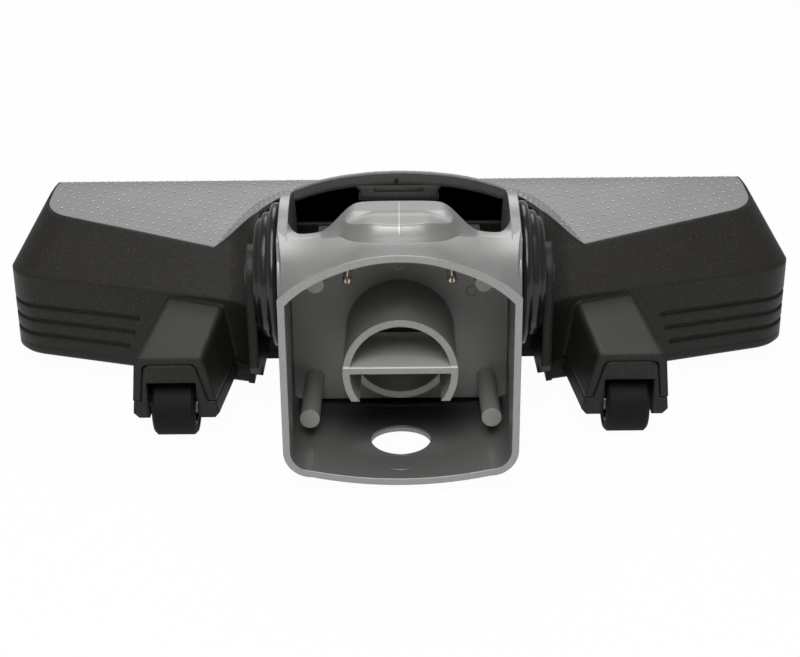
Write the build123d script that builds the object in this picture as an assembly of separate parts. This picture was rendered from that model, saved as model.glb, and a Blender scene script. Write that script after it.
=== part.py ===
"""Powered floor brush head of a vacuum cleaner, built as separate parts in one frame.

Millimetres. X runs across the head, +Y is the working front, Z is up and the floor is Z = 0.
"""
import os
from math import cos, radians, sin, sqrt, tan

from build123d import *

# overall sizes
HEAD_WIDTH = 320.0
FRONT_Y = 97.0
BUMPER_OUT = 4.0
MOUTH_Y = -101.0
BODY_BOTTOM = 7.0
SEAM_Z = 11.0
CREASE_Z = 41.0
LOFT_TOP_Z = 76.0
REAR_APEX_Y = -41.3
REAR_END_Y = 13.26
SWEEP = (REAR_END_Y - REAR_APEX_Y) / (HEAD_WIDTH / 2)
REAR_CORNER_R = 20.0
FRONT_CORNER_R = 28.0
WALL = 2.4
PLATE_T = 2.0
PLATE_GAP = 0.35
PLATE_EDGE = 1.2
RIM_EDGE = 1.7

# slopes of the upper shell, horizontal run for each unit of height
REAR_RUN = 1.10
END_RUN = 0.55
FRONT_RUN = 0.20
TOP_Z0 = 55.4
TOP_RISE = 0.176
NOSE_START_Y = 50.0
NOSE_END_Z = 36.0

# grooves of the rear walls
GROOVE_TOP_Z = 28.5
GROOVE_PITCH = 6.1
GROOVE_COUNT = 3
GROOVE_WIDTH = 2.0
GROOVE_DEPTH = 1.0
GROOVE_INNER_X = 103.0

# tilt joint and the bay it stands in
PIVOT_Y = -26.0
PIVOT_Z = 54.0
BAY_HALF = 53.5
BAY_WALL = 3.6
BAY_R = 32.8
BAY_FRONT_Y = 6.0
BOSS_R = 11.5
CHEEK_LOW_Z = 16.4
SWEEP_R = 14.0
BUSH_R = 8.5
JOURNAL_R = 6.5
RUNNING = 0.06
HOOD_TOP_Z = 85.0
HOOD_ARCH_R = 118.0
HOOD_RIM_Y = 3.0
HOOD_LEAN = 0.43
LIP_T = 4.4
VENT_X0 = 15.5

# wheel arms
ARM_TOP_Z = 35.0
ARM_ROOT_Z = 40.5
ARM_END_Y = -62.0
ARM_BOTTOM = 9.4
ARM_GAP = 0.45
ARM_SEAM_Z = 17.0
ARM_SKIN = 2.6
WHEEL_X = 83.4
WHEEL_Y = -49.5
WHEEL_R = 11.5
WHEEL_W = 15.6
WELL_W = 18.0
WELL_TOP = 24.5
HUB_R = 8.4
AXLE_R = 2.0

# connector
MOUTH_HALF = 40.0
MOUTH_SIDE_Z = 72.0
MOUTH_CROWN_Z = 87.0
MOUTH_LOW_Z = 4.0
SHELL_T = 2.4
SHELL_FRONT_Y = -47.0
EAR_OUT = 43.7
EAR_T = 3.6
EAR_R = 30.6
TAB_FRONT_Y = -34.0
TAB_TOP_Z = 84.6
TAB_STEP = 1.6
TAB_T = 1.4
PAD_HALF = 20.5
PAD_FOOT_Y = -69.5
PAD_FOOT_RUN = 17.2
PAD_HEAD_RUN = 10.0
LATCH_HOLE_R = 10.75
LATCH_HOLE_Y = -72.4
BACK_Y = -43.0
BACK_LOW_Z = 10.0
PIPE_R = 20.0
PIPE_BORE_R = 17.5
PIPE_Z = 37.5
PIPE_RING_Y = -59.0
PIPE_END_Y = -83.0
PIPE_OPEN_DEG = 31.0
SHELF_T = 2.6
LOW_POST_R = 3.5
LOW_POST_X = 32.0
LOW_POST_Z = 19.0
TOP_POST_R = 3.1
TOP_POST_X = 28.7
TOP_POST_Z = 69.3
POST_END_Y = -79.5
PIN_R = 1.6
PIN_STEP = 0.2
PIN_X = 17.8
PIN_Z = 70.6
PIN_TIP_Y = -80.0
DRUM_R = 18.0
DRUM_HALF = 30.0

# brush, motor and belt
ROLLER_Y = 62.0
ROLLER_Z = 26.0
ROLLER_R = 25.0
CORE_R = 15.0
ROLLER_X0 = 32.0 - HEAD_WIDTH / 2
ROLLER_X1 = HEAD_WIDTH / 2 - 18.0
SHAFT_R = 3.0
TUNNEL_R = 27.0
TUNNEL_T = 2.0
TUNNEL_X0 = ROLLER_X0 - 4.0
TUNNEL_X1 = ROLLER_X1 + 3.0
BELT_X = TUNNEL_X0 - 6.0
BELT_W = 6.0
BELT_T = 1.6
DRIVEN_R = 11.0
DRIVER_R = 5.0
MOTOR_Y = 16.6
MOTOR_Z = 27.0
MOTOR_R = 14.6
MOTOR_X0 = BELT_X + 20.0
MOTOR_X1 = -BAY_HALF - 16.5
SOLE_Z0 = 2.5
STRIP_COUNT = 4
STRIP_W = 2.6
STRIP_TWIST = 100.0
MOTOR_SHAFT_R = 1.6
BEARING_X = HEAD_WIDTH / 2 - 10.0
BEARING_HALF = 7.0
DUCT_HALF = 22.0
DUCT_Z0 = 35.0
DUCT_Z1 = 54.0

# sole, latches, bumper, rings, sleeves and board
GUARD_COUNT = 7
GUARD_PITCH = (HEAD_WIDTH - 68.0) / GUARD_COUNT
RUNNER_IN_X = 66.0
RUNNER_OUT_X = HEAD_WIDTH / 2 - 38.0
LATCH_X = HEAD_WIDTH / 2 - 21.0
LATCH_Y = 27.0
LATCH_R = 6.0
LATCH_STEM_R = 2.6
BUMPER_Z0 = 14.0
BUMPER_H = 10.0
RING_R1 = 27.0
RING_R2 = 23.5
RING_W = 5.4
SLEEVE_R = 3.2
BOARD_X0 = BAY_HALF + 22.5
BOARD_X1 = HEAD_WIDTH / 2 - 28.0
BOARD_Y0 = 9.0
BOARD_Y1 = 31.0
BOARD_Z = 15.0


def block(x0, x1, y0, y1, z0, z1):
    """Box between two corners."""
    return Pos((x0 + x1) / 2, (y0 + y1) / 2, (z0 + z1) / 2) * Box(x1 - x0, y1 - y0, z1 - z0)


def rod_x(r, x0, x1, y, z):
    """Round bar along X."""
    return Pos((x0 + x1) / 2, y, z) * Rot(0, 90, 0) * Cylinder(r, x1 - x0)


def rod_y(r, y0, y1, x, z):
    """Round bar along Y."""
    return Pos(x, (y0 + y1) / 2, z) * Rot(90, 0, 0) * Cylinder(r, y1 - y0)


def rod_z(r, z0, z1, x, y):
    """Round bar along Z."""
    return Pos(x, y, (z0 + z1) / 2) * Cylinder(r, z1 - z0)


def along_x(points, x0, x1):
    """Closed outline of (y, z) points drawn along X."""
    return extrude(Plane.YZ.offset(x0) * Polygon(*points, align=None), x1 - x0, dir=(1, 0, 0))


def both(part):
    """The part and its mirror image across the middle plane."""
    return part + mirror(part, about=Plane.YZ)


def rear_y(x, inset=0.0):
    """Rear wall of the body at a distance x from the middle plane."""
    return REAR_APEX_Y + SWEEP * abs(x) + inset * sqrt(1 + SWEEP ** 2)


def outline(rear, end, front, r_rear, r_front):
    """Plan of the body with its rear, end and front walls moved in."""
    x = HEAD_WIDTH / 2 - end
    y = FRONT_Y - front
    side = rear_y(x, rear)
    plan = Polygon((0, rear_y(0, rear)), (x, side), (x, y), (-x, y), (-x, side), align=None)
    corners = plan.vertices()
    plan = fillet([v for v in corners if v.X > 1 and v.Y < y - 1 or v.X < -1 and v.Y < y - 1], r_rear)
    return fillet([v for v in plan.vertices() if abs(abs(v.X) - x) < 0.01 and abs(v.Y - y) < 0.01],
                  r_front)


def top_profile(drop):
    """Side view of everything under the top surface, lowered by drop."""
    y0 = -70.0
    start = (NOSE_START_Y, TOP_Z0 + TOP_RISE * NOSE_START_Y - drop)
    end = (FRONT_Y + 0.5 - drop, NOSE_END_Z - drop)
    slope = Line((y0, TOP_Z0 + TOP_RISE * y0 - drop), start)
    nose = TangentArc(start, end, tangent=(1, TOP_RISE))
    rest = Polyline(end, (FRONT_Y + 0.5 - drop, -5), (y0, -5), (y0, TOP_Z0 + TOP_RISE * y0 - drop))
    return extrude(Plane.YZ.offset(-200) * make_face(slope + nose + rest), 400)


def wing(inset, drop):
    """Body without the hood: upright walls, sloping upper band and inclined top."""
    low = outline(inset, inset, inset, REAR_CORNER_R - inset, FRONT_CORNER_R - inset)
    h = LOFT_TOP_Z - CREASE_Z
    slant = inset * 1.35
    high = outline(slant + REAR_RUN * h, slant + END_RUN * h, inset + FRONT_RUN * h, REAR_CORNER_R,
                   FRONT_CORNER_R - 8)
    walls = extrude(Plane.XY.offset(BODY_BOTTOM) * low, CREASE_Z - BODY_BOTTOM)
    band = loft([Plane.XY.offset(CREASE_Z) * low, Plane.XY.offset(LOFT_TOP_Z) * high], ruled=True)
    return (walls + band) & top_profile(drop)


def hood_section(y, crown, shoulder, foot_z):
    """Bell shaped section of the hood in a plane across the head."""
    half = BAY_HALF + BAY_WALL
    knee = (half + 11, foot_z + 0.42 * (shoulder - foot_z))
    curve = Spline((-half - 27, foot_z), (-knee[0], knee[1]), (-half, shoulder), (0, crown),
                   (half, shoulder), knee, (half + 27, foot_z))
    base = Polyline((half + 27, foot_z), (half + 27, 20), (-half - 27, 20), (-half - 27, foot_z))
    return Plane(origin=(0, y, 0), x_dir=(1, 0, 0), z_dir=(0, -1, 0)) * make_face(curve + base)


def hood(drop):
    """Raised hood over the tilt joint, running down to the nose."""
    sag = HOOD_ARCH_R - sqrt(HOOD_ARCH_R ** 2 - (BAY_HALF + BAY_WALL) ** 2)
    back = hood_section(-20, HOOD_TOP_Z + 7.4, HOOD_TOP_Z - sag + 2.2, 50)
    front = hood_section(68, HOOD_TOP_Z - 22.5, HOOD_TOP_Z - 25.5, 56)
    return Pos(0, 0, -drop) * loft([back, front], ruled=True) & block(-200, 200, -25, 66, 20, 120)


def bay_space():
    """Free space the tilt joint works in."""
    lean = HOOD_LEAN
    top = 130.0
    behind = along_x([(-150, -10), (BAY_FRONT_Y - 3, -10), (BAY_FRONT_Y - 3, PIVOT_Z - 20),
                      (PIVOT_Y, PIVOT_Z), (HOOD_RIM_Y - lean * (HOOD_TOP_Z - PIVOT_Z), PIVOT_Z),
                      (HOOD_RIM_Y + lean * (top - HOOD_TOP_Z), top), (-150, top)], -BAY_HALF, BAY_HALF)
    return behind + rod_x(BAY_R, -BAY_HALF, BAY_HALF, PIVOT_Y, PIVOT_Z)


def behind_rim(ahead=0.0):
    """Everything behind the leaning plane of the hood's rim moved ahead, above the crease."""
    z0 = CREASE_Z - 8
    y0 = HOOD_RIM_Y + ahead
    return along_x([(-150, z0), (y0 - HOOD_LEAN * (HOOD_TOP_Z - z0), z0),
                    (y0 + HOOD_LEAN * 30, HOOD_TOP_Z + 30), (-150, HOOD_TOP_Z + 30)], -90, 90)


def bay_cheek():
    """Right side wall of the bay, rounded about the tilt axis, with material for the swept corner."""
    x1 = BAY_HALF + BAY_WALL + SWEEP_R
    y0 = PIVOT_Y - BOSS_R
    plate = along_x([(y0, CHEEK_LOW_Z + 4), (y0 + 4, CHEEK_LOW_Z), (-12, CHEEK_LOW_Z), (-12, SEAM_Z),
                     (10, SEAM_Z), (10, PIVOT_Z - 1), (PIVOT_Y, PIVOT_Z + BOSS_R),
                     (PIVOT_Y, PIVOT_Z), (y0, PIVOT_Z)], BAY_HALF, x1)
    return plate + rod_x(BOSS_R, BAY_HALF, x1, PIVOT_Y, PIVOT_Z)


def sweep_space(grow):
    """Space behind the right rear wall, its corner with the bay's side wall swept round."""
    x = BAY_HALF + BAY_WALL - grow
    far = x + 60
    plan = Polygon((x, rear_y(x, grow)), (x, -150), (far, -150), (far, rear_y(far, grow)), align=None)
    corner = [v for v in plan.vertices() if abs(v.X - x) < 0.01 and v.Y > -100]
    plan = fillet(corner, SWEEP_R + grow)
    run = REAR_RUN * sqrt(1 + SWEEP ** 2)
    length = sqrt(1 + run ** 2)
    upright = extrude(Plane.XY * plan, CREASE_Z, dir=(0, 0, 1))
    slope = extrude(Plane.XY.offset(CREASE_Z) * plan, 70 * length, dir=(0, run / length, 1 / length))
    return upright + slope


def body_outer():
    """Outside form of the head with hood, cut back to the rim and swept into the bay's walls."""
    raised = hood(0) - behind_rim()
    return wing(0, 0) + both(bay_cheek() - sweep_space(0.02)) + (raised - both(sweep_space(0.02)))


def top_edge_y(x):
    """Where the sloping rear band meets the inclined top at a distance x from the middle plane."""
    k = REAR_RUN * sqrt(1 + SWEEP ** 2)
    return (rear_y(x) + k * (TOP_Z0 - CREASE_Z)) / (1 - k * TOP_RISE)


def plate_prism(grow):
    """Plan of the inlaid top plate, grown by a gap."""
    half = BAY_HALF + BAY_WALL + 0.2 + grow
    x_in = half + 19.5
    x_out = HEAD_WIDTH / 2 - END_RUN * (TOP_Z0 + 8.5 - CREASE_Z) - PLATE_EDGE + grow
    y_front = NOSE_START_Y + 32 + grow
    edge = PLATE_EDGE - grow
    y_rear = HOOD_RIM_Y - 7.6 - grow
    right = [(0, y_rear), (half, y_rear), (x_in, top_edge_y(x_in) + edge),
             (x_out, top_edge_y(x_out) + edge), (x_out, y_front), (0, y_front)]
    left = [(-x, y) for x, y in reversed(right[1:-1])]
    plan = Polygon(*right, *left, align=None)
    plan = fillet([v for v in plan.vertices() if abs(v.X) > x_out - 0.1 and v.Y < 60], 15)
    plan = fillet([v for v in plan.vertices() if abs(v.X) > x_out - 0.1 and v.Y > 70], 8)
    return extrude(Plane.XY.offset(30) * plan, 80)


def arm(grow, z0, low_cut=0.0):
    """Wheel arm of the right side, drawn in by grow on its sides and top."""
    g = -grow
    rear = Polygon((71.3 + g, ARM_TOP_Z - g), (95.8 - g, ARM_TOP_Z - g), (99.2 - g, z0),
                   (66.2 + g, z0), align=None)
    root = Polygon((66.8 + g, ARM_ROOT_Z - g), (90.4 - g, ARM_ROOT_Z - g), (94.2 - g, z0),
                   (61.2 + g, z0), align=None)
    tops = [fillet([v for v in s.vertices() if v.Y > 30], 2.6) for s in (rear, root)]
    if low_cut > 0:
        tops = [chamfer([v for v in s.vertices() if v.Y < z0 + 0.1], low_cut) for s in tops]
    at_rear = Plane(origin=(0, ARM_END_Y, 0), x_dir=(1, 0, 0), z_dir=(0, -1, 0))
    at_root = Plane(origin=(0, 4, 0), x_dir=(1, 0, 0), z_dir=(0, -1, 0))
    body = loft([at_rear * tops[0], at_root * tops[1]], ruled=True)
    tip = along_x([(ARM_END_Y - 5, 0), (ARM_END_Y + 6.5, 0), (ARM_END_Y, ARM_TOP_Z + 1),
                   (ARM_END_Y - 5, 50)], 50, 120)
    return body - tip


def grooves():
    """Cutting rings for the grooves of the rear walls and ends."""
    ring = outline(-1, -1, -1, REAR_CORNER_R + 1, FRONT_CORNER_R + 1)
    ring -= outline(GROOVE_DEPTH, GROOVE_DEPTH, GROOVE_DEPTH, REAR_CORNER_R - GROOVE_DEPTH,
                    FRONT_CORNER_R)
    cut = None
    for i in range(GROOVE_COUNT):
        z = GROOVE_TOP_Z - i * GROOVE_PITCH - GROOVE_WIDTH / 2
        band = extrude(Plane.XY.offset(z) * ring, GROOVE_WIDTH)
        x0 = GROOVE_INNER_X + 2.4 * i
        band &= both(block(x0, HEAD_WIDTH / 2 + 10, -40, 34, 0, 60))
        cut = band if cut is None else cut + band
    return cut


def screw_points():
    """Where the housing screws stand, in front of the motor and the board."""
    outer = HEAD_WIDTH / 2 - 11.5
    inner = BAY_HALF + 7.5
    return [(-outer, 34), (outer, 34), (-inner, 27), (inner, 27)]


def upper_housing():
    """Upper shell with hood, bay walls, arm covers and the seat of the top plate."""
    outer = body_outer()
    skin = PLATE_T + 2.0
    side = block(BAY_HALF, BAY_HALF + BAY_WALL, -60, PIVOT_Y + BAY_R + WALL, 0, 120)
    under_hood = hood(skin + 0.6) & block(-90, 90, HOOD_RIM_Y - 8, 64, 30, 100)
    inside = wing(WALL, skin) + (under_hood - both(sweep_space(WALL + 0.3)))
    shell = outer - (inside - both(side))
    front_wall = rod_x(BAY_R + WALL, -BAY_HALF - 1, BAY_HALF + 1, PIVOT_Y, PIVOT_Z)
    front_wall &= block(-90, 90, PIVOT_Y + 8, 30, PIVOT_Z - 22, 100)
    apron = block(-BAY_HALF - 1, BAY_HALF + 1, BAY_FRONT_Y - 3, BAY_FRONT_Y - 3 + WALL, SEAM_Z,
                  PIVOT_Z - 18)
    shell += (front_wall + apron) & outer
    shell -= bay_space()
    vents = both(block(VENT_X0, BAY_HALF, PIVOT_Y, HOOD_RIM_Y + 14, PIVOT_Z + 10, HOOD_TOP_Z))
    shell -= vents & hood(LIP_T)
    shell -= block(-DUCT_HALF - 0.3, DUCT_HALF + 0.3, PIVOT_Y + 10, 40, DUCT_Z0 - 0.3, DUCT_Z1 + 0.3)
    cover = arm(0, ARM_BOTTOM) - arm(-ARM_SKIN, ARM_BOTTOM - 1)
    cover &= block(50, 120, ARM_END_Y - 5, 1, ARM_SEAM_Z, 60)
    shell += both(cover - wing(0.2, 0))
    for x, y in screw_points():
        boss = rod_z(3.4, SEAM_Z, 60, x, y) & outer
        shell += boss
    shell -= grooves()
    shell -= block(-200, 200, -200, 200, -5, SEAM_Z)
    for x, y in screw_points():
        shell -= rod_z(1.25, SEAM_Z - 1, 26, x, y)
    pocket = outer - Pos(0, 0, -PLATE_T) * outer
    seat = (pocket & plate_prism(PLATE_GAP)) - behind_rim(RIM_EDGE - PLATE_GAP)
    shell -= seat - both(sweep_space(PLATE_EDGE - PLATE_GAP))
    return shell - both(rod_x(BUSH_R, BAY_HALF - 2, BAY_HALF + BAY_WALL + 2, PIVOT_Y, PIVOT_Z))


def top_plate():
    """Inlaid plate that follows the top of the body and hood."""
    outer = body_outer()
    skin = outer - Pos(0, 0, -PLATE_T) * outer
    return (skin & plate_prism(0)) - behind_rim(RIM_EDGE) - bay_space() - both(sweep_space(PLATE_EDGE))


def fork():
    """Lower half of the right wheel arm with the well for the wheel."""
    core = arm(-ARM_SKIN - ARM_GAP, ARM_BOTTOM) & block(50, 120, ARM_END_Y - 5, -22, ARM_BOTTOM, 60)
    foot = arm(-0.3, ARM_BOTTOM, 2.2)
    foot &= block(50, 120, ARM_END_Y - 5, 1, ARM_BOTTOM, ARM_SEAM_Z - ARM_GAP)
    well = block(WHEEL_X - WELL_W / 2, WHEEL_X + WELL_W / 2, ARM_END_Y - 9, WHEEL_Y + WHEEL_R + 1.5,
                 0, WELL_TOP)
    hollow = block(WHEEL_X - 10, WHEEL_X + 6, WHEEL_Y + WHEEL_R + 4, rear_y(WHEEL_X) - 2, 0, 31)
    part = core + foot - well - hollow
    part -= wing(-0.15, -1) & block(-200, 200, -200, 200, SEAM_Z, 100)
    part -= wing(1.5, -1)
    return part - rod_x(AXLE_R, WHEEL_X - 13, WHEEL_X + 13, WHEEL_Y, WHEEL_R)


def brush_tunnel():
    """Arched roof over the brush with end walls."""
    r = TUNNEL_R
    t = TUNNEL_T
    skin = rod_x(r + t, TUNNEL_X0, TUNNEL_X1, ROLLER_Y, ROLLER_Z)
    skin += block(TUNNEL_X0, TUNNEL_X1, ROLLER_Y - r - t, ROLLER_Y + r + t, BODY_BOTTOM, ROLLER_Z)
    skin &= block(-200, 200, -200, 200, BODY_BOTTOM, 100)
    room = rod_x(r, TUNNEL_X0 + t, TUNNEL_X1 - t, ROLLER_Y, ROLLER_Z)
    room += block(TUNNEL_X0 + t, TUNNEL_X1 - t, ROLLER_Y - r, ROLLER_Y + r, 0, ROLLER_Z)
    slot = block(TUNNEL_X0 - 1, TUNNEL_X1 + 1, ROLLER_Y - SHAFT_R - 1, ROLLER_Y + SHAFT_R + 1, 0,
                 ROLLER_Z)
    slot += rod_x(SHAFT_R + 1, TUNNEL_X0 - 1, TUNNEL_X1 + 1, ROLLER_Y, ROLLER_Z)
    port = block(-DUCT_HALF + 2, DUCT_HALF - 2, 20, ROLLER_Y, DUCT_Z0 + 2, DUCT_Z1 - 2)
    return skin - room - slot - port


def bearing_guides(x0, x1):
    """Two posts that take a bearing block between them."""
    half = BEARING_HALF + 0.1
    ribs = block(x0, x1, ROLLER_Y - half - 3, ROLLER_Y - half, BODY_BOTTOM, ROLLER_Z + 6)
    return ribs + block(x0, x1, ROLLER_Y + half, ROLLER_Y + half + 3, BODY_BOTTOM, ROLLER_Z + 6)


def lower_housing():
    """Base with brush tunnel, motor cradle, board posts, bearing posts and wheel forks."""
    plan = outline(0, 0, 0, REAR_CORNER_R, FRONT_CORNER_R)
    bay = block(-BAY_HALF - BAY_WALL, BAY_HALF + BAY_WALL, -80, BAY_FRONT_Y - 3, 0, 40)
    base = extrude(Plane.XY.offset(BODY_BOTTOM) * plan, SEAM_Z - BODY_BOTTOM)
    base = chamfer(base.faces().sort_by(Axis.Z)[0].edges(), 1.2)
    hollow = outline(WALL, WALL, WALL, REAR_CORNER_R - WALL, FRONT_CORNER_R - WALL)
    base -= extrude(Plane.XY.offset(BODY_BOTTOM + WALL) * hollow, 10)
    rim = block(-BAY_HALF - BAY_WALL - WALL, BAY_HALF + BAY_WALL + WALL, -60,
                BAY_FRONT_Y - 3 + WALL, BODY_BOTTOM, SEAM_Z)
    base += rim & extrude(Plane.XY.offset(BODY_BOTTOM) * plan, SEAM_Z - BODY_BOTTOM)
    base -= bay
    mouth = block(TUNNEL_X0 + TUNNEL_T, TUNNEL_X1 - TUNNEL_T, ROLLER_Y - TUNNEL_R,
                  ROLLER_Y + TUNNEL_R, 0, 20)
    base -= mouth
    base += brush_tunnel()
    for side in (-1, 1):
        x = side * BEARING_X
        base -= block(x - 3.2, x + 3.2, ROLLER_Y - BEARING_HALF - 0.1,
                      ROLLER_Y + BEARING_HALF + 0.1, 0, 20)
        base += bearing_guides(x - 3.2, x + 3.2)
    base -= block(BELT_X - 5, BELT_X + 5, ROLLER_Y - 14.5, ROLLER_Y + 14.5, 0, BODY_BOTTOM + WALL)
    for x in (MOTOR_X0 + 8, MOTOR_X1 - 8):
        rib = block(x - 1.5, x + 1.5, MOTOR_Y - 13, MOTOR_Y + 13, BODY_BOTTOM, MOTOR_Z - 4)
        base += rib - rod_x(MOTOR_R + 0.1, x - 3, x + 3, MOTOR_Y, MOTOR_Z)
    for x, y in board_holes():
        base += rod_z(2.6, BODY_BOTTOM, BOARD_Z, x, y)
    for x, y in screw_points():
        base += rod_z(4.4, BODY_BOTTOM, SEAM_Z, x, y)
        base -= rod_z(1.6, 0, SEAM_Z + 1, x, y) + rod_z(3.1, 0, BODY_BOTTOM + 1.8, x, y)
    for side in (-1, 1):
        base -= rod_z(LATCH_STEM_R + RUNNING, 0, 20, side * LATCH_X, LATCH_Y)
    half = EAR_OUT
    base += block(-half, half, SHELL_FRONT_Y + 0.5, BAY_FRONT_Y - 3, BODY_BOTTOM, BODY_BOTTOM + 2)
    return base + both(fork())


def housing_screws():
    """Pan head screws that hold the two housings together."""
    screws = None
    for x, y in screw_points():
        one = rod_z(1.25, BODY_BOTTOM + 1.8, 24, x, y) + rod_z(2.8, BODY_BOTTOM, BODY_BOTTOM + 1.8, x, y)
        one -= block(x - 2, x + 2, y - 0.4, y + 0.4, 0, BODY_BOTTOM + 0.8)
        one -= block(x - 0.4, x + 0.4, y - 2, y + 2, 0, BODY_BOTTOM + 0.8)
        screws = one if screws is None else screws + one
    return screws


def sole_plate():
    """Removable plate under the brush with guard bars and runners."""
    plan = outline(9, 9, 4, REAR_CORNER_R - 6, FRONT_CORNER_R - 6)
    plate = extrude(Plane.XY.offset(SOLE_Z0) * plan, BODY_BOTTOM - SOLE_Z0)
    plate &= block(-200, 200, BAY_FRONT_Y + 10, 200, 0, 20)
    plate = chamfer(plate.faces().sort_by(Axis.Z)[0].edges(), 1.5)
    window = block(TUNNEL_X0 + 4, TUNNEL_X1 - 4, ROLLER_Y - 20, ROLLER_Y + 20, 0, 20)
    bars = None
    for i in range(GUARD_COUNT):
        x = (i - (GUARD_COUNT - 1) / 2) * GUARD_PITCH
        bar = block(x - 1.2, x + 1.2, ROLLER_Y - 21, ROLLER_Y + 21, SOLE_Z0 - 1.5, SOLE_Z0 + 1)
        bars = bar if bars is None else bars + bar
    plate -= window
    plate += bars - rod_x(ROLLER_R + 0.4, -150, 150, ROLLER_Y, ROLLER_Z)
    for x in (-RUNNER_OUT_X, -RUNNER_IN_X, RUNNER_IN_X, RUNNER_OUT_X):
        plate += block(x - 2, x + 2, ROLLER_Y - 36, ROLLER_Y - 22, 0, SOLE_Z0 + 1)
        plate += block(x - 2, x + 2, ROLLER_Y + 22, ROLLER_Y + 28, 0, SOLE_Z0 + 1)
    for side in (-1, 1):
        x = side * LATCH_X
        plate -= rod_z(LATCH_R + 0.4, 0, SOLE_Z0 + 2.5, x, LATCH_Y)
        plate -= rod_z(LATCH_STEM_R + RUNNING, 0, 20, x, LATCH_Y)
    return plate


def sole_latch(side):
    """Quarter turn lock of the sole plate."""
    x = side * LATCH_X
    part = rod_z(LATCH_R, SOLE_Z0 + 0.3, SOLE_Z0 + 2.4, x, LATCH_Y)
    part += rod_z(LATCH_STEM_R, SOLE_Z0 + 0.3, BODY_BOTTOM + WALL + 3, x, LATCH_Y)
    part += block(x - 1.8, x + 1.8, LATCH_Y - 5, LATCH_Y + 5, BODY_BOTTOM + WALL + 0.3,
                  BODY_BOTTOM + WALL + 3)
    return part - block(x - 0.7, x + 0.7, LATCH_Y - 4.5, LATCH_Y + 4.5, 0, SOLE_Z0 + 1.4)


def bumper_strip():
    """Soft strip along the front wall."""
    band = outline(0, 0, -BUMPER_OUT, REAR_CORNER_R, FRONT_CORNER_R)
    band -= outline(0, 0, 0, REAR_CORNER_R, FRONT_CORNER_R)
    strip = extrude(Plane.XY.offset(BUMPER_Z0) * band, BUMPER_H)
    strip &= block(-200, 200, FRONT_Y - 22, 200, 0, 100)
    return chamfer(strip.faces().sort_by(Axis.Y)[-1].edges(), 1.4)


def wheel_tyre(side):
    """Rubber tread of a wheel."""
    x = side * WHEEL_X
    tyre = rod_x(WHEEL_R, x - WHEEL_W / 2, x + WHEEL_W / 2, WHEEL_Y, WHEEL_R)
    tyre = chamfer(tyre.edges(), 1.1)
    return tyre - rod_x(HUB_R, x - WHEEL_W, x + WHEEL_W, WHEEL_Y, WHEEL_R)


def wheel_hub(side):
    """Hub of a wheel, dished on both sides."""
    x = side * WHEEL_X
    hub = rod_x(HUB_R, x - WHEEL_W / 2 + 0.4, x + WHEEL_W / 2 - 0.4, WHEEL_Y, WHEEL_R)
    for d in (-1, 1):
        cut = rod_x(HUB_R - 1.6, x + d * WHEEL_W / 2 - 3, x + d * WHEEL_W / 2 + 3, WHEEL_Y, WHEEL_R)
        hub -= cut - rod_x(3.6, x - WHEEL_W, x + WHEEL_W, WHEEL_Y, WHEEL_R)
    return hub - rod_x(AXLE_R + RUNNING, x - WHEEL_W, x + WHEEL_W, WHEEL_Y, WHEEL_R)


def wheel_axle(side):
    """Steel axle of a wheel."""
    x = side * WHEEL_X
    return chamfer(rod_x(AXLE_R, x - 12, x + 12, WHEEL_Y, WHEEL_R).edges(), 0.4)


def pivot_bush(side):
    """Plain bearing of the tilt joint."""
    x0 = BAY_HALF
    x1 = BAY_HALF + BAY_WALL
    bush = rod_x(BUSH_R, x0, x1, PIVOT_Y, PIVOT_Z)
    bush -= rod_x(JOURNAL_R + RUNNING, x0 - 2, x1 + 2, PIVOT_Y, PIVOT_Z)
    return bush if side > 0 else mirror(bush, about=Plane.YZ)


def pivot_bellows(side):
    """Stepped rubber rings that close the gap beside the connector."""
    x0 = EAR_OUT + 0.3
    big = rod_x(RING_R1, x0, x0 + RING_W, PIVOT_Y, PIVOT_Z)
    big = fillet(big.edges(), 1.9)
    small = rod_x(RING_R2, x0 + RING_W - 0.4, BAY_HALF - 0.1, PIVOT_Y, PIVOT_Z)
    small = fillet(small.edges().sort_by(Axis.X)[-1], 1.4)
    part = big + small - rod_x(JOURNAL_R + 2.5, x0 - 2, BAY_HALF + 2, PIVOT_Y, PIVOT_Z)
    return part if side > 0 else mirror(part, about=Plane.YZ)


def pivot_journal(side):
    """Flanged journal of the connector that turns in the bush."""
    x0 = EAR_OUT - EAR_T
    part = rod_x(JOURNAL_R, x0 - 2.5, BAY_HALF + BAY_WALL + 0.6, PIVOT_Y, PIVOT_Z)
    part += rod_x(JOURNAL_R + 4, x0 - 2.5, x0, PIVOT_Y, PIVOT_Z)
    part -= rod_x(JOURNAL_R - 2.5, x0 - 5, BAY_HALF + BAY_WALL + 3, PIVOT_Y, PIVOT_Z)
    return part if side > 0 else mirror(part, about=Plane.YZ)


def mouth_heights():
    """Stations of the connector shell: distance, half width, low edge and roof heights inwards."""
    a = MOUTH_SIDE_Z
    c = MOUTH_CROWN_Z
    low = MOUTH_LOW_Z
    rim = (a, a + 5.1, a + 8.9, a + 11.6, c - 1.2, c)
    behind_rim_roof = (a - 0.4, a + 2.6, a + 5.2, a + 7.4, c - 5.0, c - 3.8)
    saddle = (a + 2.2, a + 3.4, a + 4.9, a + 6.6, c - 7.0, c - 6.4)
    front = (a + 6.3, a + 4.8, a + 5.2, a + 6.9, c - 4.6, c - 3.6)
    return [(MOUTH_Y, MOUTH_HALF, low, rim), (MOUTH_Y + 19, MOUTH_HALF + 0.2, low + 0.4, behind_rim_roof),
            (MOUTH_Y + 36, MOUTH_HALF + 1.4, low + 1.0, saddle), (SHELL_FRONT_Y, EAR_OUT, low + 1.6, front)]


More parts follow.
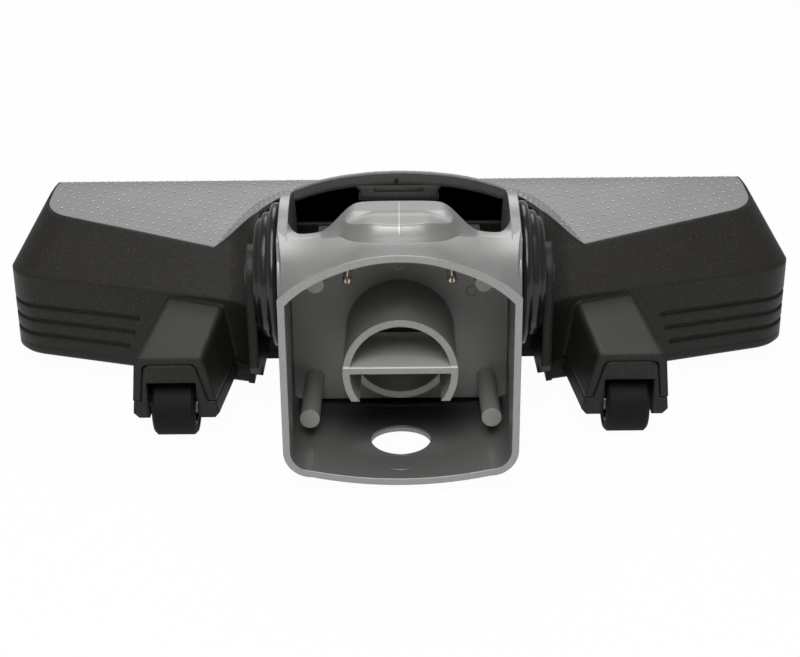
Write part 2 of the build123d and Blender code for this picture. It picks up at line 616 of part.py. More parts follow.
def shell_section(y, half, low, roof, t):
    """One closed section of the connector shell, drawn in by t."""
    w = half - t
    side = roof[0] - t * 0.9
    fractions = (1.0, 0.85, 0.675, 0.5, 0.3, 0.0)
    right = [(w * f, z - t * (0.9 if f == 1.0 else 1.0)) for f, z in zip(fractions, roof)]
    top = [(-x, z) for x, z in right[:-1]] + [right[-1]] + list(reversed(right[:-1]))
    b = half - 9.5
    z1 = low + 3.3 + t
    z2 = low + 13
    k = 9.5 - t
    knee = (w - k * 0.29, z1 + (z2 - z1) * 0.29)
    edges = Spline(*top) + Line((w, side), (w, z2)) + ThreePointArc((w, z2), knee, (b, z1))
    edges += ThreePointArc((b, z1), (0, low + t), (-b, z1))
    edges += ThreePointArc((-b, z1), (-knee[0], knee[1]), (-w, z2)) + Line((-w, z2), (-w, side))
    return Plane(origin=(0, y, 0), x_dir=(1, 0, 0), z_dir=(0, -1, 0)) * make_face(edges)


def shell_body(t):
    """Connector shell form through all its stations."""
    return loft([shell_section(y, half, low, roof, t) for y, half, low, roof in mouth_heights()])


def ear():
    """Right ear of the connector, a disc about the tilt axis run back into the side wall."""
    c = cos(radians(60))
    s = sin(radians(60))
    plate = along_x([(SHELL_FRONT_Y - 6, 11), (SHELL_FRONT_Y - 6, MOUTH_SIDE_Z + 4),
                     (PIVOT_Y - EAR_R * c, PIVOT_Z + EAR_R * s), (PIVOT_Y, PIVOT_Z),
                     (PIVOT_Y - EAR_R * 0.34, PIVOT_Z - EAR_R * 0.94), (BACK_Y + SHELL_T + 1, 20),
                     (BACK_Y + SHELL_T + 1, 11)], EAR_OUT - EAR_T, EAR_OUT)
    return plate + rod_x(EAR_R, EAR_OUT - EAR_T, EAR_OUT, PIVOT_Y, PIVOT_Z)


def tongue_band(drop, thick, y0, y1):
    """Arched band over the tilt joint, lowered by drop."""
    right = [(0, TAB_TOP_Z), (13, TAB_TOP_Z - 1), (20, TAB_TOP_Z - 4), (26, TAB_TOP_Z - 7.4)]
    top = [(-x, z - drop) for x, z in reversed(right[1:])] + [(x, z - drop) for x, z in right]
    low = [(x, z - thick) for x, z in top]
    face = make_face(Spline(*top) + Line(top[-1], low[-1]) + Spline(*low) + Line(low[0], top[0]))
    at = Plane(origin=(0, y1, 0), x_dir=(1, 0, 0), z_dir=(0, -1, 0))
    return extrude(at * face, y1 - y0)


def tongue_pad():
    """Raised pad with an oval outline and sloped sides on the tongue."""
    foot = Pos(0, PAD_FOOT_Y + PAD_FOOT_RUN, 78) * Ellipse(PAD_HALF + 1.6, PAD_FOOT_RUN)
    head = Pos(0, TAB_FRONT_Y - 2 - PAD_HEAD_RUN, 86) * Ellipse(PAD_HALF - 2.2, PAD_HEAD_RUN)
    band = tongue_band(0, 3.4, SHELL_FRONT_Y - 3, TAB_FRONT_Y)
    band += tongue_band(0, 4.4, PAD_FOOT_Y - 2, SHELL_FRONT_Y - 3)
    return band & loft([foot, head])


def roof_tab():
    """Tongue in the middle of the roof over the joint, its sides curved into the ears' windows."""
    y0 = SHELL_FRONT_Y - 2
    side = [(24.5, y0), (22.4, y0 + 4.5), (18.4, y0 + 9.5), (16.4, TAB_FRONT_Y)]
    far = [(-x, y) for x, y in reversed(side)]
    plan = make_face(Spline(*side) + Line(side[-1], far[0]) + Spline(*far) + Line(far[-1], side[0]))
    plan = fillet(plan.vertices().sort_by(Axis.Y)[-2:], 3)
    band = tongue_band(TAB_STEP, TAB_T, y0, TAB_FRONT_Y)
    return (band & extrude(Plane.XY.offset(60) * plan, 40)) + tongue_pad()


def connector_shell():
    """Silver connector housing with open mouth, ears and latch hole."""
    inner = shell_body(SHELL_T)
    ends = [inner.faces().sort_by(Axis.Y)[0], inner.faces().sort_by(Axis.Y)[-1]]
    part = shell_body(0) - inner - extrude(ends[0], 4) - extrude(ends[1], 4)
    part += both(ear()) + roof_tab()
    part -= rod_z(LATCH_HOLE_R, 0, 15, 0, LATCH_HOLE_Y)
    return part - both(rod_x(JOURNAL_R, EAR_OUT - 8, EAR_OUT + 5, PIVOT_Y, PIVOT_Z))


def duct_insert():
    """Inner wall of the mouth with pipe socket, shelf and guide posts."""
    half = EAR_OUT - EAR_T - 0.2
    wall = block(-half, half, BACK_Y, BACK_Y + SHELL_T, BACK_LOW_Z, PIN_Z + 4)
    part = wall + rod_y(PIPE_R, PIPE_END_Y, BACK_Y, 0, PIPE_Z)
    drop = PIPE_R * tan(radians(PIPE_OPEN_DEG))
    part -= rod_y(PIPE_BORE_R, PIPE_END_Y - 1, BACK_Y + 5, 0, PIPE_Z)
    part -= block(-30, 30, PIPE_END_Y - 1, PIPE_RING_Y, 0, PIPE_Z - drop * 0.86)
    shelf = block(-PIPE_R, PIPE_R, PIPE_END_Y, PIPE_RING_Y + 8, PIPE_Z, PIPE_Z + SHELF_T)
    part += shelf & rod_y(PIPE_BORE_R + 0.5, PIPE_END_Y, BACK_Y, 0, PIPE_Z)
    for side in (-1, 1):
        part += rod_y(LOW_POST_R, POST_END_Y, BACK_Y + 1, side * LOW_POST_X, LOW_POST_Z)
        part += rod_y(TOP_POST_R, POST_END_Y, BACK_Y + 1, side * TOP_POST_X, TOP_POST_Z)
        part -= rod_y(SLEEVE_R, BACK_Y - 5, BACK_Y + 10, side * PIN_X, PIN_Z)
    return part


def pin_sleeve(side):
    """Insulating sleeve of a contact pin."""
    part = rod_y(SLEEVE_R, BACK_Y - 6, BACK_Y + 4, side * PIN_X, PIN_Z)
    part += rod_y(SLEEVE_R + 0.8, BACK_Y + SHELL_T, BACK_Y + 4, side * PIN_X, PIN_Z)
    return part - rod_y(PIN_R - PIN_STEP, BACK_Y - 9, BACK_Y + 9, side * PIN_X, PIN_Z)


def contact_pin(side):
    """Contact pin with a split round tip."""
    x = side * PIN_X
    pin = rod_y(PIN_R, PIN_TIP_Y, BACK_Y - 6.2, x, PIN_Z)
    pin = fillet(pin.edges().sort_by(Axis.Y)[0], PIN_R * 0.7)
    pin += rod_y(PIN_R - PIN_STEP, BACK_Y - 6.3, BACK_Y + 5.5, x, PIN_Z)
    return pin - block(x - 0.3, x + 0.3, PIN_TIP_Y - 1, PIN_TIP_Y + 9, PIN_Z - 3, PIN_Z + 3)


def swivel_drum():
    """Hollow drum behind the inner wall that hands the air to the fixed duct."""
    y0 = BACK_Y + SHELL_T
    t = 2.0
    form = rod_x(DRUM_R, -DRUM_HALF, DRUM_HALF, PIVOT_Y, PIVOT_Z)
    form += block(-DRUM_HALF, DRUM_HALF, y0, PIVOT_Y, PIPE_Z - PIPE_R - 1, PIVOT_Z)
    form &= block(-90, 90, y0, 50, 0, 100)
    room = rod_x(DRUM_R - t, -DRUM_HALF + t, DRUM_HALF - t, PIVOT_Y, PIVOT_Z)
    room += block(-DRUM_HALF + t, DRUM_HALF - t, y0 - 1, PIVOT_Y - t, PIPE_Z - PIPE_R + 1, PIVOT_Z)
    room &= block(-90, 90, y0 - 1, 50, 0, 100)
    front = along_x([(PIVOT_Y + 2, PIVOT_Z), (PIVOT_Y + 20, PIVOT_Z - 38), (PIVOT_Y + 40, PIVOT_Z - 38),
                     (PIVOT_Y + 40, PIVOT_Z + 40), (PIVOT_Y + 14, PIVOT_Z + 38)],
                    -DUCT_HALF + 3, DUCT_HALF - 3)
    back = block(-90, 90, y0 - 2, y0 + 0.01, 0, PIPE_Z + PIPE_R + 30)
    return form - room - front - back


def air_duct():
    """Fixed duct from the brush tunnel to the trough round the drum."""
    r0 = DRUM_R + 0.5
    trough = rod_x(r0 + 2, -DRUM_HALF - 0.5, DRUM_HALF + 0.5, PIVOT_Y, PIVOT_Z)
    trough &= block(-90, 90, PIVOT_Y + 3, 50, 0, PIVOT_Z + 9)
    duct = block(-DUCT_HALF, DUCT_HALF, PIVOT_Y + 9, ROLLER_Y - 7, DUCT_Z0, DUCT_Z1)
    hole = block(-DUCT_HALF + 2, DUCT_HALF - 2, PIVOT_Y, 60, DUCT_Z0 + 2, DUCT_Z1 - 2)
    part = trough + duct - hole - rod_x(r0, -60, 60, PIVOT_Y, PIVOT_Z)
    return part - rod_x(TUNNEL_R + TUNNEL_T + 0.1, -60, 60, ROLLER_Y, ROLLER_Z)


def roller_shaft():
    """Steel shaft of the brush."""
    return rod_x(SHAFT_R, -BEARING_X - 2.5, BEARING_X + 2.5, ROLLER_Y, ROLLER_Z)


def roller_core():
    """Brush core with end collars."""
    core = rod_x(CORE_R, ROLLER_X0, ROLLER_X1, ROLLER_Y, ROLLER_Z)
    for x in (ROLLER_X0, ROLLER_X1 - 3):
        core += rod_x(CORE_R + 3, x, x + 3, ROLLER_Y, ROLLER_Z)
    return core - rod_x(SHAFT_R, ROLLER_X0 - 1, ROLLER_X1 + 1, ROLLER_Y, ROLLER_Z)


def bristle_strips():
    """Bristle rows wound round the core."""
    length = ROLLER_X1 - ROLLER_X0 - 7
    rows = []
    for i in range(STRIP_COUNT):
        turn = Plane(origin=(ROLLER_X0 + 3.5, ROLLER_Y, ROLLER_Z), x_dir=(0, 1, 0), z_dir=(1, 0, 0))
        angle = 360.0 / STRIP_COUNT * i
        r = (CORE_R + 0.05 + ROLLER_R) / 2
        face = turn * Rot(0, 0, angle) * Pos(r, 0) * Rectangle(ROLLER_R - CORE_R - 0.1, STRIP_W)
        row = Solid.extrude_linear_with_rotation(face.face(), (ROLLER_X0 + 3.5, ROLLER_Y, ROLLER_Z),
                                                 (length, 0, 0), STRIP_TWIST)
        rows.append(row)
    return Compound(children=rows)


def roller_pulley():
    """Driven pulley of the brush."""
    w = BELT_W / 2 + 0.4
    part = rod_x(DRIVEN_R, BELT_X - w, BELT_X + w, ROLLER_Y, ROLLER_Z)
    for x in (BELT_X - w - 1, BELT_X + w):
        part += rod_x(DRIVEN_R + 2, x, x + 1, ROLLER_Y, ROLLER_Z)
    return part - rod_x(SHAFT_R, BELT_X - 9, BELT_X + 9, ROLLER_Y, ROLLER_Z)


def roller_bearing(side):
    """Block that carries one end of the brush shaft."""
    x = side * BEARING_X
    part = block(x - 2.8, x + 2.8, ROLLER_Y - BEARING_HALF, ROLLER_Y + BEARING_HALF,
                 BODY_BOTTOM + 0.2, ROLLER_Z + 6)
    return part - rod_x(SHAFT_R + RUNNING, x - 6, x + 6, ROLLER_Y, ROLLER_Z)


def loop(extra):
    """Belt line round both pulleys, drawn out by extra."""
    a = DRIVER_R + extra
    b = DRIVEN_R + extra
    dy = ROLLER_Y - MOTOR_Y
    dz = ROLLER_Z - MOTOR_Z
    d = sqrt(dy ** 2 + dz ** 2)
    u = (dy / d, dz / d)
    n = (-u[1], u[0])
    c = (DRIVER_R - DRIVEN_R) / d
    s = sqrt(1 - c ** 2)
    up = (u[0] * c + n[0] * s, u[1] * c + n[1] * s)
    dn = (u[0] * c - n[0] * s, u[1] * c - n[1] * s)
    at = [(MOTOR_Y + a * up[0], MOTOR_Z + a * up[1]), (ROLLER_Y + b * up[0], ROLLER_Z + b * up[1]),
          (ROLLER_Y + b * dn[0], ROLLER_Z + b * dn[1]), (MOTOR_Y + a * dn[0], MOTOR_Z + a * dn[1])]
    x0 = BELT_X - BELT_W / 2
    x1 = BELT_X + BELT_W / 2
    return along_x(at, x0, x1) + rod_x(a, x0, x1, MOTOR_Y, MOTOR_Z) + rod_x(b, x0, x1, ROLLER_Y, ROLLER_Z)


def drive_belt():
    """Flat belt between motor and brush."""
    return loop(0.2 + BELT_T) - loop(0.2)


def motor_can():
    """Steel can of the motor."""
    can = rod_x(MOTOR_R, MOTOR_X0, MOTOR_X1, MOTOR_Y, MOTOR_Z)
    can += rod_x(5, MOTOR_X0 - 2.5, MOTOR_X0, MOTOR_Y, MOTOR_Z)
    can -= rod_x(MOTOR_R - 1.6, MOTOR_X0 + 2, MOTOR_X1 + 1, MOTOR_Y, MOTOR_Z)
    return can - rod_x(MOTOR_SHAFT_R + RUNNING, MOTOR_X0 - 9, MOTOR_X0 + 9, MOTOR_Y, MOTOR_Z)


def motor_cap():
    """End cap of the motor with its bearing and terminals."""
    cap = rod_x(MOTOR_R, MOTOR_X1, MOTOR_X1 + 3, MOTOR_Y, MOTOR_Z)
    cap += rod_x(5, MOTOR_X1 + 3, MOTOR_X1 + 5.5, MOTOR_Y, MOTOR_Z)
    cap -= rod_x(MOTOR_SHAFT_R + RUNNING, MOTOR_X1 - 1, MOTOR_X1 + 4.5, MOTOR_Y, MOTOR_Z)
    for dy in (-5, 5):
        cap += block(MOTOR_X1 + 3, MOTOR_X1 + 8, MOTOR_Y + dy - 1.5, MOTOR_Y + dy + 1.5,
                     MOTOR_Z - 0.4, MOTOR_Z + 0.4)
    return cap


def motor_rotor():
    """Motor shaft with armature."""
    part = rod_x(MOTOR_SHAFT_R, BELT_X - 5, MOTOR_X1 + 4, MOTOR_Y, MOTOR_Z)
    return part + rod_x(MOTOR_R - 4.5, MOTOR_X0 + 8, MOTOR_X1 - 8, MOTOR_Y, MOTOR_Z)


def motor_pulley():
    """Driving pulley on the motor shaft."""
    w = BELT_W / 2 + 0.4
    part = rod_x(DRIVER_R, BELT_X - w, BELT_X + w, MOTOR_Y, MOTOR_Z)
    for x in (BELT_X - w - 0.8, BELT_X + w):
        part += rod_x(DRIVER_R + 1, x, x + 0.8, MOTOR_Y, MOTOR_Z)
    return part - rod_x(MOTOR_SHAFT_R, BELT_X - 9, BELT_X + 9, MOTOR_Y, MOTOR_Z)


def motor_strap():
    """Strap that holds the motor down in its cradle."""
    x = (MOTOR_X0 + MOTOR_X1) / 2
    strap = rod_x(MOTOR_R + 1.6, x - 4, x + 4, MOTOR_Y, MOTOR_Z)
    strap &= block(x - 9, x + 9, -40, 60, MOTOR_Z, 60)
    z0 = BODY_BOTTOM + WALL
    for y0 in (MOTOR_Y - MOTOR_R - 1.6, MOTOR_Y + MOTOR_R):
        strap += block(x - 4, x + 4, y0, y0 + 1.6, z0, MOTOR_Z)
    return strap - rod_x(MOTOR_R + 0.05, x - 9, x + 9, MOTOR_Y, MOTOR_Z)


def board_holes():
    """Corners where the control board stands on its posts."""
    return [(x, y) for x in (BOARD_X0 + 4, BOARD_X1 - 4) for y in (BOARD_Y0 + 4, BOARD_Y1 - 4)]


def control_board():
    """Circuit board with capacitor, choke, switch and terminals."""
    z = BOARD_Z + 1.6
    part = block(BOARD_X0, BOARD_X1, BOARD_Y0, BOARD_Y1, BOARD_Z, z)
    part += rod_z(5, z, z + 12, BOARD_X0 + 14, BOARD_Y0 + 10)
    part += block(BOARD_X0 + 24, BOARD_X0 + 34, BOARD_Y0 + 5, BOARD_Y0 + 15, z, z + 9)
    part += block(BOARD_X1 - 16, BOARD_X1 - 12, BOARD_Y0 + 4, BOARD_Y0 + 16, z, z + 10)
    return part + block(BOARD_X0 + 10, BOARD_X0 + 22, BOARD_Y1 - 6, BOARD_Y1 - 1, z, z + 6)


def export(name, part):
    """Write one part as parts/NAME.step."""
    export_step(part, f"parts/{name}.step")


def main():
    """Build every part and write it."""
    os.makedirs("parts", exist_ok=True)
    single = (upper_housing, lower_housing, top_plate, sole_plate, bumper_strip, housing_screws,
              connector_shell, duct_insert, swivel_drum, air_duct, roller_shaft, roller_core,
              bristle_strips, roller_pulley, drive_belt, motor_can, motor_cap, motor_rotor,
              motor_pulley, motor_strap, control_board)
    paired = (sole_latch, wheel_tyre, wheel_hub, wheel_axle, pivot_bush, pivot_bellows,
              pivot_journal, pin_sleeve, contact_pin, roller_bearing)
    for make in single:
        export(make.__name__, make())
    for make in paired:
        for side, word in ((-1, "left"), (1, "right")):
            export(f"{make.__name__}_{word}", make(side))


main()
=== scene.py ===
"""Studio scene of a powered vacuum floor brush head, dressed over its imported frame."""

import logging
import math
from dataclasses import dataclass, field
from enum import Enum
from typing import Callable, Iterable, Sequence

import bpy
from mathutils import Matrix, Vector


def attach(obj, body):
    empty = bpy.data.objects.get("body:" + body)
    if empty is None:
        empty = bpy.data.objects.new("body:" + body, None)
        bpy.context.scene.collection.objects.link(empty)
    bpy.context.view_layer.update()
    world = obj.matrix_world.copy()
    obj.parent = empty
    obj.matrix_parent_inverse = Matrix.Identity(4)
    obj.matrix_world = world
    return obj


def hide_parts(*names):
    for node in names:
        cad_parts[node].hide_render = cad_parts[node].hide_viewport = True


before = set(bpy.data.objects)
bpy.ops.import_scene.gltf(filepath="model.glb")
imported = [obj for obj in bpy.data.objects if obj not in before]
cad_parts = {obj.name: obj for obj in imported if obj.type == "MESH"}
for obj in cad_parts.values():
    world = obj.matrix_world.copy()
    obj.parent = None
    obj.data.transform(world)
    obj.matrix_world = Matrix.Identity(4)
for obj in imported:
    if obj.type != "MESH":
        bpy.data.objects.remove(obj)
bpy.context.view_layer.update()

Colour = tuple[float, float, float]
Triple = tuple[float, float, float]
Span = tuple[float, float]

LOG = logging.getLogger("brush_head")
MM = 0.001  # metres in a millimetre, the unit of the sizes below
DOUBLES = 0.005  # points closer than this are one
RIM_Y, RIM_Z = 3.0, 85.0  # a place on the plane of the hood's rim
RIM_LEAN = 0.43  # run of that plane to the front per millimetre of height
ROLLER_Y, ROLLER_Z = 62.0, 26.0  # axis of the brush roller
UP = Vector((0, 0, 1))
DOWN = Vector((0, 0, -1))
SKY = 200.0  # height above everything, where rays start


class Body(Enum):
    """Moving bodies of the head that pieces ride on."""

    HEAD = "head"
    CONNECTOR = "connector"
    BRUSH = "brush_roller"


class Slot(Enum):
    """Material slots of the record."""

    BLACK = "black_plastic"
    PLATE = "plate_grey"
    BOOT = "gloss_rubber"
    SILVER = "connector_silver"
    INSERT = "insert_grey"
    BRISTLE = "bristle_nylon"


class Side(Enum):
    """The two sides of the head, seen from the connector."""

    LEFT = -1
    RIGHT = 1

    @property
    def word(self) -> str:
        """The side as it stands in the names of nodes."""
        return self.name.lower()


class Val:
    """A shader socket that takes part in Python expressions."""

    def __init__(self, web: "Web", socket: bpy.types.NodeSocket) -> None:
        """Keep the socket and the tree it belongs to."""
        self.web = web
        self.socket = socket

    def math(self, operation: str, first: "Val | float", second: "Val | float" = 0.0) -> "Val":
        """Add one Math node.

        Args:
            operation: Name of the Math node's operation.
            first: First operand, a socket or a number.
            second: Second operand, a socket or a number.

        Returns:
            The node's result.
        """
        made = self.web.node("ShaderNodeMath", {"operation": operation}, {0: first, 1: second})
        return Val(self.web, made.outputs[0])

    def __add__(self, other: "Val | float") -> "Val":
        """Sum."""
        return self.math("ADD", self, other)

    def __radd__(self, other: float) -> "Val":
        """Sum with a number on the left."""
        return self.math("ADD", other, self)

    def __sub__(self, other: "Val | float") -> "Val":
        """Difference."""
        return self.math("SUBTRACT", self, other)

    def __rsub__(self, other: float) -> "Val":
        """Difference with a number on the left."""
        return self.math("SUBTRACT", other, self)

    def __mul__(self, other: "Val | float") -> "Val":
        """Product."""
        return self.math("MULTIPLY", self, other)

    def __rmul__(self, other: float) -> "Val":
        """Product with a number on the left."""
        return self.math("MULTIPLY", other, self)

    def __lt__(self, other: "Val | float") -> "Val":
        """One where this is below the other, else zero."""
        return self.math("LESS_THAN", self, other)

    def __gt__(self, other: "Val | float") -> "Val":
        """One where this is above the other, else zero."""
        return self.math("GREATER_THAN", self, other)

    def __abs__(self) -> "Val":
        """Absolute value."""
        return self.math("ABSOLUTE", self)

    def top(self, other: "Val | float") -> "Val":
        """The larger of two values."""
        return self.math("MAXIMUM", self, other)

    def power(self, other: float) -> "Val":
        """This value raised to a power."""
        return self.math("POWER", self, other)

    def ease(self, low: float, high: float) -> "Val":
        """Smooth step from 0 at low to 1 at high.

        Args:
            low: Value that gives 0.
            high: Value that gives 1.

        Returns:
            The eased value.
        """
        made = self.web.node("ShaderNodeMapRange", {"interpolation_type": "SMOOTHSTEP"},
                             {"Value": self, "From Min": low, "From Max": high})
        return Val(self.web, made.outputs[0])

    def rise(self, span: Span) -> "Val":
        """Smooth step of a length over a span in millimetres."""
        return self.ease(span[0] * MM, span[1] * MM)


class Web:
    """Node tree of one material."""

    def __init__(self, name: str) -> None:
        """Start an empty material of that name."""
        self.material = bpy.data.materials.new(name)
        self.material.use_nodes = True
        self.tree = self.material.node_tree
        self.tree.nodes.clear()
        self.place = Val(self, self.node("ShaderNodeTexCoord").outputs["Object"])

    def node(self, kind: str, settings: dict | None = None,
             links: dict | None = None) -> bpy.types.Node:
        """Add any node.

        Args:
            kind: The node's type.
            settings: Its settings, set first.
            links: Values or sockets for its inputs, by name, identifier or number.

        Returns:
            The node.
        """
        made = self.tree.nodes.new(kind)
        for key, value in (settings or {}).items():
            setattr(made, key, value)
        known = {s.identifier: s for s in made.inputs}
        for key, value in (links or {}).items():
            socket = known[key] if key in known else made.inputs[key]
            if isinstance(value, Val):
                self.tree.links.new(value.socket, socket)
            else:
                socket.default_value = value
        return made

    def axis(self, index: int) -> Val:
        """One coordinate of the place on the object, in metres."""
        return Val(self, self.node("ShaderNodeSeparateXYZ", None, {0: self.place}).outputs[index])

    def noise(self, size: float, detail: float = 2.0, stretch: Triple = (1.0, 1.0, 1.0)) -> Val:
        """Cloudy noise.

        Args:
            size: Width of one grain in millimetres.
            detail: Number of finer layers.
            stretch: How many times finer it is along each axis.

        Returns:
            The noise, around 0.5.
        """
        place = self.node("ShaderNodeMapping", None, {"Vector": self.place, "Scale": stretch})
        made = self.node("ShaderNodeTexNoise", None,
                         {"Vector": Val(self, place.outputs[0]), "Scale": 1.0 / (size * MM),
                          "Detail": detail, "Roughness": 0.55})
        return Val(self, made.outputs[0])

    def blend(self, factor: Val, low: "Val | Colour", high: "Val | Colour") -> Val:
        """Mix two colours.

        Args:
            factor: 0 gives the first colour, 1 the second.
            low: First colour.
            high: Second colour.

        Returns:
            The mixed colour.
        """
        def whole(colour: "Val | Colour") -> "Val | tuple":
            """Give a plain colour its fourth channel."""
            return colour if isinstance(colour, Val) else (*colour, 1.0)

        made = self.node("ShaderNodeMix", {"data_type": "RGBA"},
                         {"Factor_Float": factor, "A_Color": whole(low), "B_Color": whole(high)})
        return Val(self, [s for s in made.outputs if s.identifier == "Result_Color"][0])

    def relief(self, height: Val, depth: float, under: Val | None = None) -> Val:
        """Turn a height into a normal.

        Args:
            height: Height from 0 to 1.
            depth: What a height of 1 stands for, in millimetres.
            under: Normal that the relief lies on.

        Returns:
            The normal.
        """
        links = {"Height": height, "Distance": depth * MM, "Strength": 1.0}
        if under is not None:
            links["Normal"] = under
        return Val(self, self.node("ShaderNodeBump", None, links).outputs[0])

    def soft_edges(self, radius: float) -> Val:
        """Normal that rounds every edge by a radius in millimetres."""
        made = self.node("ShaderNodeBevel", {"samples": 4}, {"Radius": radius * MM})
        return Val(self, made.outputs[0])

    def close(self, shader: bpy.types.Node) -> bpy.types.Material:
        """Put a shader on the surface and return the material."""
        self.node("ShaderNodeOutputMaterial", None, {"Surface": Val(self, shader.outputs[0])})
        return self.material

    def finish(self, **inputs: "Val | float | tuple") -> bpy.types.Material:
        """Close the tree with a Principled shader.

        Args:
            inputs: Its inputs, with _ for the spaces in their names.

        Returns:
            The finished material.
        """
        links = {key.replace("_", " "): value for key, value in inputs.items()}
        return self.close(self.node("ShaderNodeBsdfPrincipled", None, links))


def toned(colour: Colour, share: float) -> Colour:
    """A colour made paler or darker by a share, white at most."""
    return tuple(min(1.0, c * share) for c in colour)


@dataclass(frozen=True)
class SparkPlastic:
    """Dark moulded plastic with an eroded, faintly sparkling skin."""

    name: str
    colour: Colour
    fleck: Colour
    grain: float = 0.55
    depth: float = 0.05
    roughness: float = 0.42
    edge: float = 0.5
    shine: float = 0.42
    cloud: float = 22.0
    speck: float = 0.32

    def make(self) -> bpy.types.Material:
        """Build the material."""
        web = Web(self.name)
        grain = web.noise(self.grain, 3.0)
        cloud = web.noise(self.cloud, 2.0)
        specks = web.noise(self.speck, 1.0).ease(0.66, 0.74)
        tone = web.blend(cloud.ease(0.3, 0.7), self.colour, toned(self.colour, 1.18))
        tone = web.blend(specks * 0.8, tone, self.fleck)
        rough = self.roughness + (grain - 0.5) * 0.22 + (cloud - 0.5) * 0.1
        normal = web.relief(grain, self.depth, web.soft_edges(self.edge))
        return web.finish(Base_Color=tone, Roughness=rough, Normal=normal, Specular_IOR_Level=self.shine)


@dataclass(frozen=True)
class PlatePlastic:
    """Even grey plastic of the inlaid top plate."""

    name: str
    colour: Colour
    roughness: float = 0.46
    cloud: float = 30.0
    grain: float = 0.35
    depth: float = 0.012
    edge: float = 0.35

    def make(self) -> bpy.types.Material:
        """Build the material."""
        web = Web(self.name)
        cloud = web.noise(self.cloud, 3.0)
        skin = web.noise(self.grain, 2.0)
        tone = web.blend(cloud.ease(0.25, 0.75), toned(self.colour, 0.95), toned(self.colour, 1.05))
        rough = self.roughness + (skin - 0.5) * 0.14
        normal = web.relief(skin, self.depth, web.soft_edges(self.edge))
        return web.finish(Base_Color=tone, Roughness=rough, Normal=normal, Specular_IOR_Level=0.4)


@dataclass(frozen=True)
class SilverPaint:
    """Satin metallic plastic with fine flakes; the shell may take a painted highlight and painted shade,
    the insert painted light.
    """

    name: str
    colour: Colour
    metal: float = 0.55
    roughness: float = 0.36
    flake: float = 0.28
    cloud: float = 16.0
    depth: float = 0.03
    edge: float = 0.5
    # Switches on the painted highlight on the mould line and the painted shade in the mouth.
    marked: bool = False
    # Bounds of the painted highlight along the tongue's mould line, in millimetres.
    line_x: Span = (0.10, 0.30)
    line_y: Span = (-68.0, -36.0)
    line_z: Span = (78.0, 79.0)
    line_fade: Span = (3.0, 1.0)
    # Bounds of the painted shade at the deep end of the mouth's floor, in millimetres.
    pocket_x: Span = (37.5, 39.0)
    pocket_y: Span = (-80.0, -52.0)
    pocket_foot: Span = (6.4, 7.0)
    pocket_top: Span = (11.0, 16.0)
    # Painted light on the top of the shelf in the suction pipe, and its bounds in millimetres.
    shelf: bool = False
    shelf_x: Span = (20.5, 21.5)
    shelf_y: Span = (-46.0, -44.0)
    shelf_z: Span = (39.6, 40.4)

    def mould_line_highlight(self, web: Web) -> Val:
        """Mark the thin raised line along the tongue, which takes a painted highlight.

        Args:
            web: Tree of the material.

        Returns:
            One on the line, else zero.
        """
        (rear, front), (rear_fade, front_fade) = self.line_y, self.line_fade
        line = (1.0 - abs(web.axis(0)).rise(self.line_x)) * web.axis(2).rise(self.line_z)
        line = line * web.axis(1).rise((rear, rear + rear_fade))
        return line * (1.0 - web.axis(1).rise((front, front + front_fade)))

    def painted_pocket_shade(self, web: Web) -> Val:
        """Mark the deep end of the mouth's floor, which takes painted shade.

        Args:
            web: Tree of the material.

        Returns:
            One at the deep end, else zero.
        """
        inside = web.axis(2).rise(self.pocket_foot) * (1.0 - abs(web.axis(0)).rise(self.pocket_x))
        return inside * web.axis(1).rise(self.pocket_y) * (1.0 - web.axis(2).rise(self.pocket_top))

    def shelf_light_mask(self, web: Web) -> Val:
        """Mark the top of the shelf in the suction pipe, which takes painted light.

        Args:
            web: Tree of the material.

        Returns:
            One on the shelf's top, else zero.
        """
        low, high = (z * MM for z in self.shelf_z)
        inside = (1.0 - abs(web.axis(0)).rise(self.shelf_x)) * (1.0 - web.axis(1).rise(self.shelf_y))
        return inside * (web.axis(2) > low) * (web.axis(2) < high)

    def make(self) -> bpy.types.Material:
        """Build the material."""
        web = Web(self.name)
        flake = web.noise(self.flake, 1.0)
        cloud = web.noise(self.cloud, 2.0)
        tone = web.blend(flake.ease(0.35, 0.7), toned(self.colour, 0.9), toned(self.colour, 1.12))
        rough = self.roughness + (flake - 0.5) * 0.16 + (cloud - 0.5) * 0.06
        if self.marked:
            # Painted highlight: the tone along the mould line is made nearly twice as pale.
            tone = web.blend(self.mould_line_highlight(web) * 0.8, tone, toned(self.colour, 1.9))
            # Painted shade: the deep end of the mouth's floor is darkened nearly to black.
            tone = web.blend(self.painted_pocket_shade(web) * 0.93, tone, toned(self.colour, 0.05))
        if self.shelf:
            # Painted light: the shelf's top is made 2.3 times paler.
            tone = web.blend(self.shelf_light_mask(web), tone, toned(self.colour, 2.3))
        normal = web.relief(flake * 0.25, self.depth, web.soft_edges(self.edge))
        return web.finish(Base_Color=tone, Roughness=rough, Normal=normal, Metallic=self.metal)


@dataclass(frozen=True)
class Rubber:
    """Moulded rubber, matt or glossy."""

    name: str
    colour: Colour
    roughness: float
    dust: float = 0.15
    grain: float = 0.5
    depth: float = 0.03
    shine: float = 0.5
    cloud: float = 9.0
    edge: float = 0.4

    def make(self) -> bpy.types.Material:
        """Build the material."""
        web = Web(self.name)
        grain = web.noise(self.grain, 3.0)
        cloud = web.noise(self.cloud, 3.0)
        pale = tuple(min(1.0, c * 1.6 + 0.012) for c in self.colour)
        tone = web.blend(cloud.ease(0.45, 0.8) * self.dust * 3.0, self.colour, pale)
        rough = self.roughness + (grain - 0.5) * 0.12 + (cloud - 0.5) * self.dust
        normal = web.relief(grain, self.depth, web.soft_edges(self.edge))
        return web.finish(Base_Color=tone, Roughness=rough, Normal=normal, Specular_IOR_Level=self.shine)


